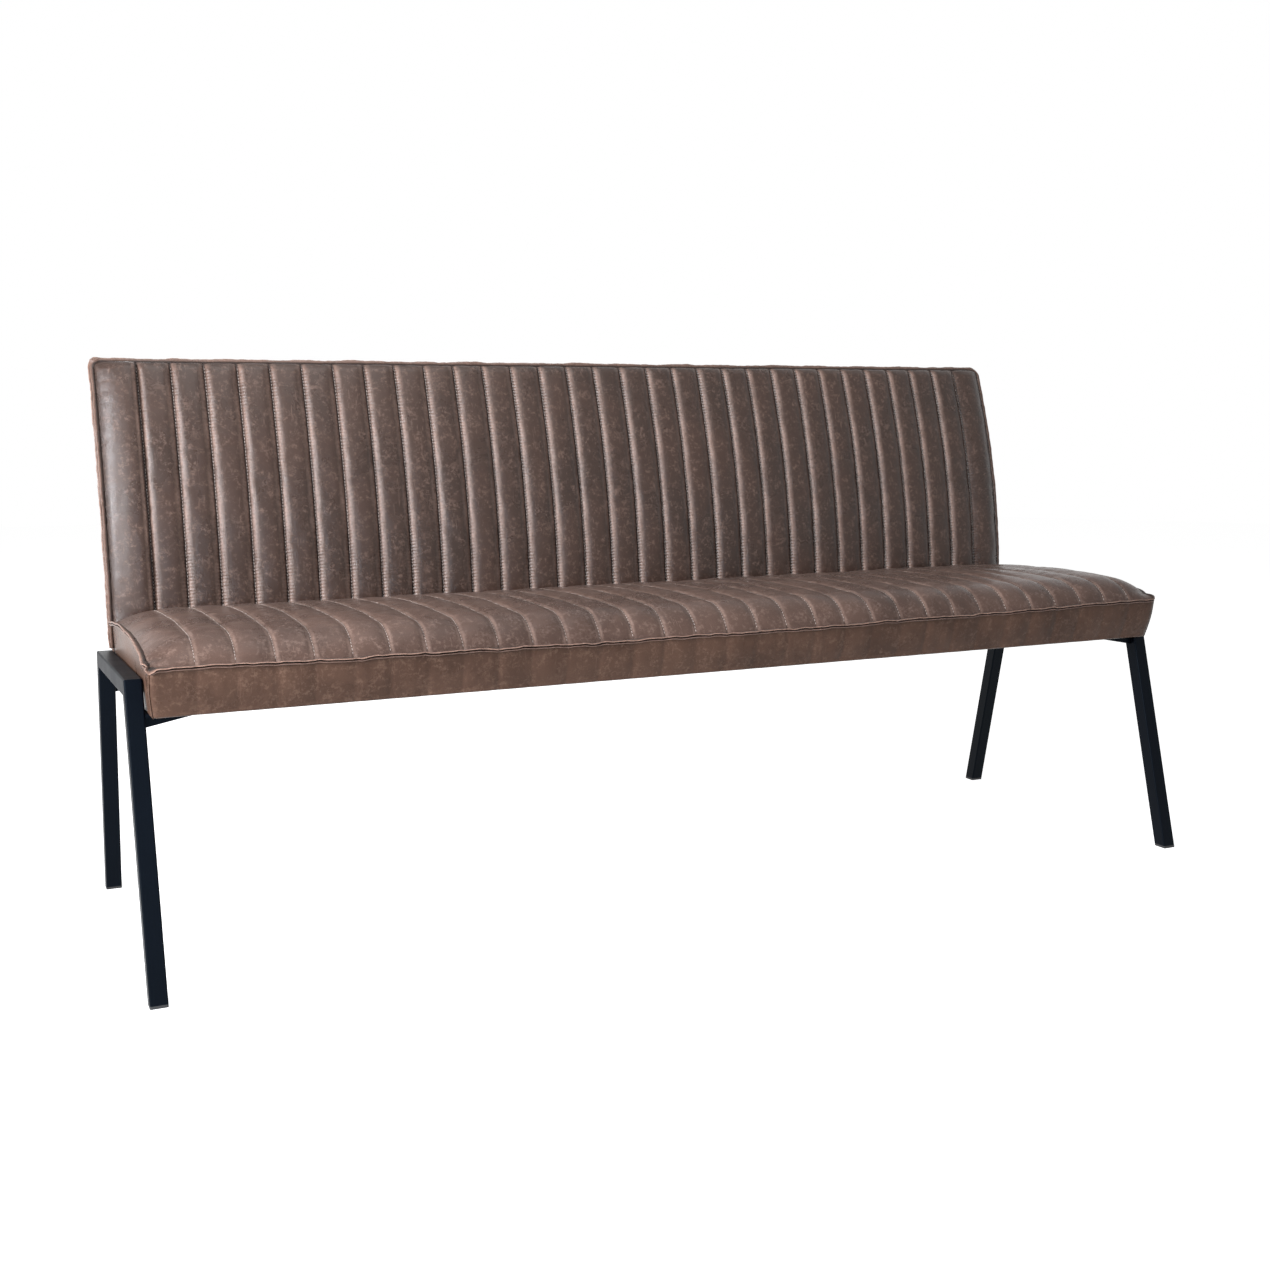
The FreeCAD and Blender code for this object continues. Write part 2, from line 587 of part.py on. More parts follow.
def screw(x, y, z, through, axis):
    """Coach screw whose head bears at a point, with its shank going on along an axis."""
    start = V(x, y, z) - axis * SCREW_HEAD_HEIGHT
    head = hexagon(start.x, start.y, start.z, SCREW_HEAD_ACROSS, SCREW_HEAD_HEIGHT, axis)
    return head.fuse(rod(x, y, z, SCREW / 2, through + SCREW_GRIP, axis))


def brackets():
    """The four seat brackets and all the coach screws."""
    names = ("front_bracket", "rear_bracket")
    for name, screws, span in zip(names, bracket_screw_places(), bracket_spans()):
        piece = bracket(screws, *span)
        export("left_" + name, tipped(piece))
        export("right_" + name, tipped(mirrored(piece)))
    under = [screw(x, v, -BRACKET_PLATE, BRACKET_PLATE, V(0, 0, 1)) for x, v in all_bracket_screws()]
    export("bracket_screws", tipped(Part.makeCompound(under)))
    start = SEAT_DEPTH - LEATHER - RAIL_THICKNESS
    through = SEAT_DEPTH + LEATHER - start
    behind = [screw(x, start, BACK_SCREW_HEIGHT, through, V(0, 1, 0)) for x in back_screw_xs()]
    export("back_screws", tipped(Part.makeCompound(behind)))


os.makedirs("parts", exist_ok=True)
end_frames()
seat_cover()
seat_frame()
back_cover()
back_frame()
brackets()
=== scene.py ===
"""Looks of a channel-quilted dining bench, built round its packed construction.

The seat and back are drawn in a level frame (x along the bench, v back, w up) whose zero is the
lower front edge of the seat, and are tipped onto the bench by a small lean. Metres throughout.
"""
import json
import logging
import math
from dataclasses import dataclass
from enum import Enum

import bmesh
import bpy
import numpy as np
from mathutils import Matrix, Vector


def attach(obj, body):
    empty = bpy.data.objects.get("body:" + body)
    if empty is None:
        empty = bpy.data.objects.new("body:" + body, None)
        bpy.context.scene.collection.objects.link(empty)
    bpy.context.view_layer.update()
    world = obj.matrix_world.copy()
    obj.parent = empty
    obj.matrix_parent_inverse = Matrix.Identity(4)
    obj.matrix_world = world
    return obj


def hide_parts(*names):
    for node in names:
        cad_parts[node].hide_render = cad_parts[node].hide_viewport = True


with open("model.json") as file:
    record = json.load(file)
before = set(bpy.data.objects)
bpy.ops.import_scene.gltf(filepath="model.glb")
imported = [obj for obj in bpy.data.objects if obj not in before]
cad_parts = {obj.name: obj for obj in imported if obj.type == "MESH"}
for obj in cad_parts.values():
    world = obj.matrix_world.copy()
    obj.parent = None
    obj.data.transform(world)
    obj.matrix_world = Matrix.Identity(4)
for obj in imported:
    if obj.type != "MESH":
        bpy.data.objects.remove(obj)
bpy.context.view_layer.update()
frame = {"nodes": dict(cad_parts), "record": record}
BODY = "root"
BRACKETS = ("left_front_bracket", "left_rear_bracket", "right_front_bracket", "right_rear_bracket")
log = logging.getLogger("bench")

Array = np.ndarray
Colour = tuple[float, float, float]
Point = tuple[float, float, float]
Piece = bpy.types.Object
Socket = bpy.types.NodeSocket
Value = Socket | float | Colour

# Leather and cloth thicknesses, and how near a place counts as on a seam or edge
QUILT_WALL = 0.0014
COVER_WALL = 0.0015
CLOTH_WALL = 0.0006
ON_LINE = 1e-5


# Small numeric helpers
def smooth(t: Array) -> Array:
    """Ease from 0 to 1 with flat ends, held outside 0 to 1."""
    t = np.clip(t, 0.0, 1.0)
    return t * t * (3.0 - 2.0 * t)


def ripple(t: Array, seed: int, longest: float, waves: int = 6) -> Array:
    """Smooth irregular wave along t, about -1 to 1: sines of falling length with seeded phases.

    Args:
        t: Distance along the ripple.
        seed: Picks the phases and the exact lengths.
        longest: Length of the longest wave.
        waves: How many sines are added.

    Returns:
        The wave's value at each t.
    """
    rng = np.random.default_rng(seed)
    total = np.zeros_like(np.asarray(t, dtype=float))
    for k in range(waves):
        length = longest * rng.uniform(0.8, 1.2) / 1.7 ** k
        total += np.sin(2 * np.pi * t / length + rng.uniform(0, 2 * np.pi)) / 1.45 ** k
    return total / 2.2


def unit(vectors: Array) -> Array:
    """Vectors scaled to length one along the last axis."""
    return vectors / np.maximum(np.linalg.norm(vectors, axis=-1, keepdims=True), 1e-12)


def run_length(points: Array) -> Array:
    """Distance along a line of points, from the first one."""
    return np.concatenate([[0.0], np.cumsum(np.linalg.norm(np.diff(points, axis=0), axis=1))])


def resample(data: Array, run: Array, stops: Array) -> Array:
    """Points of a line at chosen distances along it."""
    return np.stack([np.interp(stops, run, data[:, i]) for i in range(3)], axis=-1)


def three_sides(half: float, side: Array, count: int) -> tuple[Array, Array]:
    """Line of places along the left end, across at the end's last place, and back along the right.

    Args:
        half: Half the length along the bench.
        side: Places along an end.
        count: Points across, with both corners.

    Returns:
        The x and the s of each point.
    """
    across = np.linspace(-half, half, count)[1:-1]
    x = np.concatenate([np.full(side.shape, -half), across, np.full(side.shape, half)])
    s = np.concatenate([side, np.full(across.shape, side[-1]), side[::-1]])
    return x, s


def round_corners(x: Array, s: Array, half: float, limit: float, corner: float) -> tuple[Array, Array]:
    """Round the corners where both ends meet an upper edge: a unit square goes onto a quarter disc.

    Args:
        x: Place along the bench, -half to half.
        s: Place towards the edge.
        half: Half the length along the bench.
        limit: Where the edge lies.
        corner: Radius of the corners.

    Returns:
        The new x and s.
    """
    a = (np.abs(x) - (half - corner)) / corner
    b = (s - (limit - corner)) / corner
    inside = (a > 0) & (b > 0)
    new_a = np.where(inside, a * np.sqrt(np.clip(1 - b * b / 2, 0, 1)), a)
    new_b = np.where(inside, b * np.sqrt(np.clip(1 - a * a / 2, 0, 1)), b)
    new_x = np.where(a > 0, np.sign(x) * (half - corner + new_a * corner), x)
    return new_x, np.where(b > 0, limit - corner + new_b * corner, s)


# Meshes from arrays
def finish_mesh(name: str, points: Array, faces: Array, fields: dict[str, Array]) -> Piece:
    """Put points and equal-sided faces into a smooth mesh object at the origin.

    Args:
        name: Name of the piece.
        points: Vertex places, (n, 3).
        faces: Vertex numbers of each face, (m, sides).
        fields: Named values per vertex that the finishes read.

    Returns:
        The new object, linked to the scene.
    """
    mesh = bpy.data.meshes.new(name)
    count, sides = faces.shape
    mesh.vertices.add(len(points))
    mesh.vertices.foreach_set("co", np.ascontiguousarray(points, dtype=np.float32).ravel())
    mesh.loops.add(count * sides)
    mesh.loops.foreach_set("vertex_index", np.ascontiguousarray(faces, dtype=np.int32).ravel())
    mesh.polygons.add(count)
    mesh.polygons.foreach_set("loop_start", np.arange(0, count * sides, sides, dtype=np.int32))
    mesh.polygons.foreach_set("use_smooth", np.ones(count, dtype=bool))
    mesh.update(calc_edges=True)
    for label, values in fields.items():
        layer = mesh.attributes.new(label, "FLOAT", "POINT")
        layer.data.foreach_set("value", np.ascontiguousarray(values, dtype=np.float32).ravel())
    mesh.validate()
    piece = bpy.data.objects.new(name, mesh)
    bpy.context.collection.objects.link(piece)
    return piece


def grid_faces(rows: int, columns: int, closed: bool = False) -> Array:
    """Quads of a grid of vertices.

    Args:
        rows: Rows of vertices.
        columns: Vertices in a row.
        closed: Whether each row closes on itself.

    Returns:
        Vertex numbers of each quad, (m, 4).
    """
    index = np.arange(rows * columns).reshape(rows, columns)
    if closed:
        index = np.hstack([index, index[:, :1]])
    corners = [index[:-1, :-1], index[:-1, 1:], index[1:, 1:], index[1:, :-1]]
    return np.stack(corners, axis=-1).reshape(-1, 4)


def grid_piece(name: str, points: Array, fields: dict[str, Array], closed: bool = False) -> Piece:
    """Smooth surface through a (rows, columns, 3) grid."""
    rows, columns, _ = points.shape
    return finish_mesh(name, points.reshape(-1, 3), grid_faces(rows, columns, closed), fields)


def vertex_places(mesh: bpy.types.Mesh) -> Array:
    """Read a mesh's vertices.

    Args:
        mesh: The mesh.

    Returns:
        Vertex places, (n, 3).
    """
    flat = np.empty(len(mesh.vertices) * 3, dtype=np.float32)
    mesh.vertices.foreach_get("co", flat)
    return flat.reshape(-1, 3).astype(float)


def thicken(piece: Piece, thickness: float) -> None:
    """Give an open surface a wall behind its visible side.

    Args:
        piece: The surface.
        thickness: Thickness of the wall.
    """
    wall = piece.modifiers.new("wall", "SOLIDIFY")
    wall.thickness = thickness
    wall.offset = -1.0
    wall.use_even_offset = False


def recalculate(piece: Piece) -> None:
    """Turn a closed mesh's faces outwards, after its doubles are merged.

    Args:
        piece: The closed mesh.
    """
    work = bmesh.new()
    work.from_mesh(piece.data)
    bmesh.ops.remove_doubles(work, verts=work.verts, dist=1e-7)
    bmesh.ops.recalc_face_normals(work, faces=work.faces)
    work.to_mesh(piece.data)
    work.free()


@dataclass(frozen=True)
class Swelling:
    """Cloth simulation that fills a quilted surface between its sewn lines.

    The leather is cut a little larger than its rest shape and pressed out from behind, so it fills
    between the seams and puckers beside them. How far a point moves is held softly under a cap.
    """

    cap: float
    frames: int = 14
    OPTIONS = {"quality": 4, "mass": 0.004, "tension_stiffness": 18.0, "compression_stiffness": 18.0,
               "shear_stiffness": 8.0, "bending_stiffness": 4.0, "air_damping": 6.0, "shrink_min": -0.003,
               "use_pressure": True, "uniform_pressure_force": 4.0}

    def fill(self, piece: Piece, pinned: Array) -> None:
        """Run the simulation and keep its result in the mesh.

        Args:
            piece: Open surface at the start of its swelling.
            pinned: Which vertices are sewn down.
        """
        scene = bpy.context.scene
        sewn = piece.vertex_groups.new(name="sewn")
        sewn.add(np.flatnonzero(pinned).tolist(), 1.0, "REPLACE")
        cloth = piece.modifiers.new("inflate", "CLOTH")
        for key, value in self.OPTIONS.items():
            setattr(cloth.settings, key, value)
        cloth.settings.vertex_group_mass = sewn.name
        cloth.settings.effector_weights.gravity = 0.0
        cloth.collision_settings.use_collision = False
        cloth.point_cache.frame_start = 1
        cloth.point_cache.frame_end = self.frames
        start = vertex_places(piece.data)
        for step in range(1, self.frames + 1):
            scene.frame_set(step)
        swollen = vertex_places(piece.evaluated_get(bpy.context.evaluated_depsgraph_get()).data)
        move = swollen - start
        length = np.maximum(np.linalg.norm(move, axis=1, keepdims=True), 1e-9)
        piece.modifiers.remove(cloth)
        piece.vertex_groups.remove(sewn)
        places = start + move * (self.cap * np.tanh(length / self.cap) / length)
        piece.data.vertices.foreach_set("co", places.astype(np.float32).ravel())
        piece.data.update()
        scene.frame_set(1)
        log.info("%s: largest move %.2f mm", piece.name, 1000 * length.max())


# The bench's own places
@dataclass(frozen=True)
class Lean:
    """The level frame of the seat and back, and how it sits on the bench."""

    tilt: float = math.radians(2.35)
    front_y: float = -0.255
    front_z: float = 0.384

    def turn(self, dx: Array, dv: Array, dw: Array) -> Array:
        """Turn level-frame directions about the bench's long axis.

        Args:
            dx: Part along the bench.
            dv: Part towards the rear.
            dw: Part upwards.

        Returns:
            Directions on the bench.
        """
        dx, dv, dw = np.broadcast_arrays(dx, dv, dw)
        dy = dv * math.cos(self.tilt) + dw * math.sin(self.tilt)
        dz = -dv * math.sin(self.tilt) + dw * math.cos(self.tilt)
        return np.stack([dx, dy, dz], axis=-1)

    def world(self, x: Array, v: Array, w: Array) -> Array:
        """Turn level-frame points about the bench's long axis and move them to its front edge.

        Args:
            x: Place along the bench.
            v: Place towards the rear.
            w: Place upwards.

        Returns:
            Points on the bench.
        """
        x, v, w = np.broadcast_arrays(x, v, w)
        y = self.front_y + v * math.cos(self.tilt) + w * math.sin(self.tilt)
        z = self.front_z - v * math.sin(self.tilt) + w * math.cos(self.tilt)
        return np.stack([x, y, z], axis=-1)

    def level(self, points: Array) -> tuple[Array, Array, Array]:
        """Undo the lean.

        Args:
            points: Points on the bench.

        Returns:
            Their x, v and w in the level frame.
        """
        y, z = points[..., 1] - self.front_y, points[..., 2] - self.front_z
        v = y * math.cos(self.tilt) - z * math.sin(self.tilt)
        w = y * math.sin(self.tilt) + z * math.cos(self.tilt)
        return points[..., 0], v, w

    def box(self, node: str) -> tuple[Array, Array]:
        """Lowest and highest level-frame coordinates of a construction node."""
        points = np.stack(self.level(vertex_places(frame["nodes"][node].data)), axis=-1)
        return points.min(axis=0), points.max(axis=0)


LEAN = Lean()


@dataclass(frozen=True)
class Quilting:
    """Sewn channels across the bench: where the seams lie and how a channel swells."""

    half: float
    outer_seam: float = 0.813
    channels: int = 32
    samples: int = 12

    @property
    def pitch(self) -> float:
        """Width of an inner channel."""
        return 2 * self.outer_seam / (self.channels - 2)

    def seams(self) -> Array:
        """Places of the sewn seams along the bench."""
        return np.linspace(-self.outer_seam, self.outer_seam, self.channels - 1)

    def columns(self) -> Array:
        """Columns of the grid: cosine steps, close together beside each channel's seams.

        Returns:
            Their places along the bench.
        """
        edges = np.concatenate([[-self.half], self.seams(), [self.half]])
        t = 0.5 - 0.5 * np.cos(np.pi * np.arange(self.samples) / self.samples)
        inner = edges[:-1, None] + np.diff(edges)[:, None] * t[None, :]
        return np.append(inner.ravel(), self.half)

    def swell(self, x: Array, power: float | Array, lean: float | Array = 1.0) -> Array:
        """Swelling of a channel, 0 at its seams and 1 between: one minus a power of the offset.

        Args:
            x: Place along the bench.
            power: How flat a channel is between its seams.
            lean: Under 1, the outermost channels are fullest nearer their seam and slope to the edge.

        Returns:
            The swelling, 0 to 1.
        """
        inside = np.abs(x) <= self.outer_seam
        phase = np.mod((x + self.outer_seam) / self.pitch, 1.0)
        last = (np.abs(x) - self.outer_seam) / (self.half - self.outer_seam)
        t = np.where(inside, phase, np.clip(last, 0, 1) ** lean)
        power = np.where(inside | (t < 0.5), power, power ** lean)
        return 1.0 - np.abs(2 * t - 1) ** power

    def seam_distance(self, x: Array) -> Array:
        """Distance to the nearest seam."""
        nearest = np.clip(np.round((x + self.outer_seam) / self.pitch), 0, self.channels - 2)
        return np.abs(x + self.outer_seam - nearest * self.pitch)

    def channel_number(self, x: Array) -> Array:
        """Which channel a place lies in, from 0."""
        return np.clip(np.floor((x + self.outer_seam) / self.pitch) + 1, 0, self.channels - 1)


# Finishes
class Nodes:
    """Short hand for building a node tree."""

    def __init__(self, tree: bpy.types.NodeTree) -> None:
        """Keep the tree that nodes are added to."""
        self.tree = tree

    def wire(self, node: bpy.types.Node, inputs: dict[str | int, Value]) -> None:
        """Set or link inputs of a node.

        Args:
            node: The node.
            inputs: Input name or number to a value or an output socket.
        """
        for key, value in inputs.items():
            socket = node.inputs[key]
            if isinstance(value, Socket):
                self.tree.links.new(value, socket)
            elif socket.type == "RGBA":
                socket.default_value = (*value, 1.0)
            else:
                socket.default_value = value

    def add(self, kind: str, inputs: dict[str | int, Value] | None = None,
            **settings: object) -> bpy.types.Node:
        """Add a node, set its options, and set or link its inputs.

        Args:
            kind: Blender's node type.
            inputs: Input name or number to a value or an output socket.
            **settings: Options of the node itself.

        Returns:
            The new node.
        """
        node = self.tree.nodes.new(kind)
        for key, value in settings.items():
            setattr(node, key, value)
        self.wire(node, inputs or {})
        return node

    def noise(self, vector: Socket, scale: float, detail: float = 4.0, roughness: float = 0.6,
              distortion: float = 0.0) -> Socket:
        """Fractal noise value.

        Args:
            vector: Coordinates that the noise is read at.
            scale: How many features there are to a metre.
            detail: How many finer layers are added.
            roughness: Strength of each finer layer.
            distortion: How far the noise is bent.

        Returns:
            The value, 0 to 1.
        """
        inputs = {"Vector": vector, "Scale": scale, "Detail": detail, "Roughness": roughness,
                  "Distortion": distortion}
        return self.add("ShaderNodeTexNoise", inputs).outputs["Fac"]

    def band(self, value: Socket, low: float, high: float, to_low: float = 0.0,
             to_high: float = 1.0) -> Socket:
        """Value carried from one range to another, with soft held ends."""
        inputs = {"Value": value, "From Min": low, "From Max": high, "To Min": to_low, "To Max": to_high}
        return self.add("ShaderNodeMapRange", inputs, interpolation_type="SMOOTHSTEP").outputs["Result"]

    def math(self, operation: str, a: Value, b: Value = 0.0) -> Socket:
        """One arithmetic step."""
        return self.add("ShaderNodeMath", {0: a, 1: b}, operation=operation).outputs[0]

    def mix(self, factor: Value, a: Value, b: Value) -> Socket:
        """Mix of two colours."""
        return self.add("ShaderNodeMix", {0: factor, 6: a, 7: b}, data_type="RGBA").outputs[2]

    def stretched(self, scale: Point, rotation: Point = (0.0, 0.0, 0.0)) -> Socket:
        """The piece's own coordinates, turned and stretched."""
        inputs = {"Vector": self.place(), "Rotation": rotation, "Scale": scale}
        return self.add("ShaderNodeMapping", inputs).outputs[0]

    def place(self) -> Socket:
        """The piece's own coordinates."""
        return self.add("ShaderNodeTexCoord").outputs["Object"]

    def field(self, name: str) -> Socket:
        """A value that the mesh carries at its vertices."""
        return self.add("ShaderNodeAttribute", attribute_name=name).outputs["Fac"]

    def skin(self, shader: bpy.types.Node, colour: Socket, rough: Socket, height: Socket, strength: float,
             distance: float) -> None:
        """Give a shader its changing colour, roughness and bump.

        Args:
            shader: The material's shader.
            colour: Base colour.
            rough: Roughness.
            height: Height of the bump.
            strength: Strength of the bump.
            distance: Depth of the bump.
        """
        bump = self.add("ShaderNodeBump", {"Height": height, "Strength": strength, "Distance": distance})
        self.wire(shader, {"Base Color": colour, "Roughness": rough, "Normal": bump.outputs["Normal"]})


GroupParts = tuple[bpy.types.NodeTree, Nodes, bpy.types.Node, bpy.types.Node]


def new_group(name: str, inputs: dict[str, float | Colour]) -> GroupParts:
    """Shader group with named inputs that puts out a colour, a roughness and a height.

    Args:
        name: Name of the group.
        inputs: Socket name to its default, a number or a colour.

    Returns:
        The group, its node helper, its input node and its output node.
    """
    group = bpy.data.node_groups.new(name, "ShaderNodeTree")
    for label, default in inputs.items():
        colour = isinstance(default, tuple)
        kind = "NodeSocketColor" if colour else "NodeSocketFloat"
        socket = group.interface.new_socket(label, in_out="INPUT", socket_type=kind)
        socket.default_value = (*default, 1.0) if colour else default
    for label, kind in (("Color", "Color"), ("Roughness", "Float"), ("Height", "Float")):
        group.interface.new_socket(label, in_out="OUTPUT", socket_type="NodeSocket" + kind)
    nodes = Nodes(group)
    return group, nodes, nodes.add("NodeGroupInput"), nodes.add("NodeGroupOutput")


def aged_leather_group() -> bpy.types.NodeTree:
    """Brown pull-up leather: clouded tone, pale patches of rubbing, fine scratches and a pebbled grain,
    lightened by a field of abrasion and painted highlight and darkened by painted shade in seams and grain
    creases.

    Returns:
        The group.
    """
    group, n, given, out = new_group("aged_leather", {
        "Deep": (0.07, 0.05, 0.04), "Mid": (0.14, 0.1, 0.08), "Rubbed and Highlight": (0.3, 0.24, 0.21),
        "Wear and Highlight": 0.0, "Shade": 0.0, "Pucker": 0.0})
    seam_shadow = (0.012, 0.008, 0.007)
    crease_shadow = (0.03, 0.02, 0.016)
    place = n.place()
    clouds = n.noise(place, 9.0, 5.0, 0.6, 0.4)
    patches = n.noise(place, 58.0, 8.0, 0.72, 0.7)
    specks = n.noise(place, 190.0, 5.0, 0.72, 0.3)
    scratches = n.noise(n.stretched((210.0, 60.0, 26.0), (0.3, 0.5, 0.35)), 1.0, 3.0, 0.5, 1.4)
    scuffs = n.noise(n.stretched((34.0, 190.0, 120.0), (-0.2, -0.6, 1.1)), 1.0, 4.0, 0.55, 1.0)
    tone = n.mix(n.band(clouds, 0.27, 0.73), given.outputs["Deep"], given.outputs["Mid"])
    rubbed_and_highlight = n.math("MULTIPLY", n.band(patches, 0.36, 0.68), n.band(specks, 0.38, 0.66, 0.1, 1.0))
    lines = n.math("MAXIMUM", n.band(scratches, 0.62, 0.74, 0.0, 0.4), n.band(scuffs, 0.62, 0.75, 0.0, 0.35))
    # Field of abrasion and painted highlight, lightening towards the pale colour; below, the shade field
    # darkens towards seam_shadow as painted shade.
    wear_and_highlight_weight = n.math("MULTIPLY", given.outputs["Wear and Highlight"], n.band(specks, 0.3, 0.62, 0.45, 1.0))
    pale = n.math("MAXIMUM", n.math("MULTIPLY", rubbed_and_highlight, 0.36), n.math("MULTIPLY", lines, 0.55))
    pale = n.math("MAXIMUM", n.math("MAXIMUM", pale, 0.06), wear_and_highlight_weight)
    colour = n.mix(pale, tone, given.outputs["Rubbed and Highlight"])
    colour = n.mix(n.math("MULTIPLY", given.outputs["Shade"], 0.9), colour, seam_shadow)
    cells = n.add("ShaderNodeTexVoronoi", {"Vector": place, "Scale": 620.0}, feature="DISTANCE_TO_EDGE")
    creases = n.band(cells.outputs["Distance"], 0.0, 0.16)
    colour = n.mix(n.band(creases, 0.0, 1.0, 0.16, 0.0), colour, crease_shadow)
    rough = n.math("ADD", n.band(clouds, 0.3, 0.7, 0.24, 0.32), n.math("MULTIPLY", pale, 0.12))
    height = n.math("ADD", n.math("MULTIPLY", creases, 0.3), n.math("MULTIPLY", patches, 0.3))
    height = n.math("ADD", height, given.outputs["Pucker"])
    n.wire(out, {"Color": colour, "Roughness": rough, "Height": height})
    return group


def fine_noise_group() -> bpy.types.NodeTree:
    """Small irregularities for coats, plastics and cloth, in colour, roughness and height.

    Returns:
        The group.
    """
    group, n, given, out = new_group("fine_noise", {
        "Scale": 300.0, "Base": (0.1, 0.1, 0.1), "Accent": (0.2, 0.2, 0.2),
        "Rough Low": 0.3, "Rough High": 0.5})
    place = n.place()
    fine = n.add("ShaderNodeTexNoise", {"Vector": place, "Scale": given.outputs["Scale"], "Detail": 4.0})
    broad = n.noise(place, 9.0)
    rough = n.add("ShaderNodeMapRange", {"Value": broad, "From Min": 0.3, "From Max": 0.7,
                                         "To Min": given.outputs["Rough Low"],
                                         "To Max": given.outputs["Rough High"]})
    n.wire(out, {"Color": n.mix(n.band(broad, 0.3, 0.7), given.outputs["Base"], given.outputs["Accent"]),
                 "Roughness": rough.outputs["Result"], "Height": fine.outputs["Fac"]})
    return group


def empty_tree(owner: bpy.types.Material | bpy.types.World) -> Nodes:
    """Empty the node tree of a material or world.

    Args:
        owner: The material or world.

    Returns:
        The tree's node helper.
    """
    owner.use_nodes = True
    owner.node_tree.nodes.clear()
    return Nodes(owner.node_tree)


def new_material(name: str) -> tuple[bpy.types.Material, Nodes, bpy.types.Node]:
    """Start a material.

    Args:
        name: Name of the material.

    Returns:
        The material, its node helper and its shader.
    """
    material = bpy.data.materials.new(name)
    nodes = empty_tree(material)
    shader = nodes.add("ShaderNodeBsdfPrincipled")
    nodes.add("ShaderNodeOutputMaterial", {"Surface": shader.outputs[0]})
    return material, nodes, shader


@dataclass(frozen=True)
class LeatherFinish:
    """A leather: its tones, how far its field of abrasion and painted highlight shows, and its gloss."""

    name: str
    deep: Colour
    mid: Colour
    rubbed_and_highlight: Colour
    wear_and_highlight_weight: float
    sheen: float
    specular: float
    bump: float = 0.35
    depth: float = 0.0006
    stitch: float = 0.0055

    def material(self, group: bpy.types.NodeTree) -> bpy.types.Material:
        """Build the finish, with the pull of each stitch as a sine along the seams.

        Args:
            group: The shared leather group.

        Returns:
            The material.
        """
        material, n, shader = new_material(self.name)
        pull = n.math("SINE", n.math("MULTIPLY", n.field("along"), 2 * math.pi / self.stitch))
        leather = n.add("ShaderNodeGroup", {
            "Deep": self.deep, "Mid": self.mid, "Rubbed and Highlight": self.rubbed_and_highlight,
            "Wear and Highlight": n.math("MULTIPLY", n.field("wear_and_highlight"), self.wear_and_highlight_weight), "Shade": n.field("shade"),
            "Pucker": n.math("MULTIPLY", pull, n.field("beside"))}, node_tree=group).outputs
        n.skin(shader, leather["Color"], leather["Roughness"], leather["Height"], self.bump, self.depth)
        n.wire(shader, {"Specular IOR Level": self.specular, "Sheen Weight": self.sheen,
                        "Sheen Roughness": 0.45, "Sheen Tint": (0.95, 0.86, 0.82)})
        return material


@dataclass(frozen=True)
class PlainFinish:
    """A coat, plastic, plating or cloth with fine irregularities."""

    name: str
    base: Colour
    accent: Colour
    rough: tuple[float, float]
    scale: float
    bump: float
    metallic: float = 0.0
    specular: float = 0.5
    gloss: Colour = (1.0, 1.0, 1.0)
    depth: float = 0.0004

    def material(self, group: bpy.types.NodeTree) -> bpy.types.Material:
        """Build the finish.

        Args:
            group: The shared fine-noise group.

        Returns:
            The material.
        """
        material, n, shader = new_material(self.name)
        grain = n.add("ShaderNodeGroup", {
            "Scale": self.scale, "Base": self.base, "Accent": self.accent, "Rough Low": self.rough[0],
            "Rough High": self.rough[1]}, node_tree=group).outputs
        n.skin(shader, grain["Color"], grain["Roughness"], grain["Height"], self.bump, self.depth)
        n.wire(shader, {"Metallic": self.metallic, "Specular IOR Level": self.specular,
                        "Specular Tint": self.gloss})
        return material


@dataclass(frozen=True)
class TimberFinish:
    """Planed timber with grain along one axis."""

    name: str
    early: Colour
    late: Colour
    stretch: Point
    bump: float = 0.25
    depth: float = 0.0005

    def material(self) -> bpy.types.Material:
        """Build the grain from stretched noise.

        Returns:
            The material.
        """
        material, n, shader = new_material(self.name)
        along = n.stretched(self.stretch)
        rings = n.noise(along, 1.0, 6.0, 0.6, 1.2)
        pores = n.noise(along, 6.0, 3.0, 0.5)
        colour = n.mix(n.band(rings, 0.35, 0.65), self.early, self.late)
        n.skin(shader, colour, n.band(pores, 0.3, 0.7, 0.55, 0.75), pores, self.bump, self.depth)
        return material


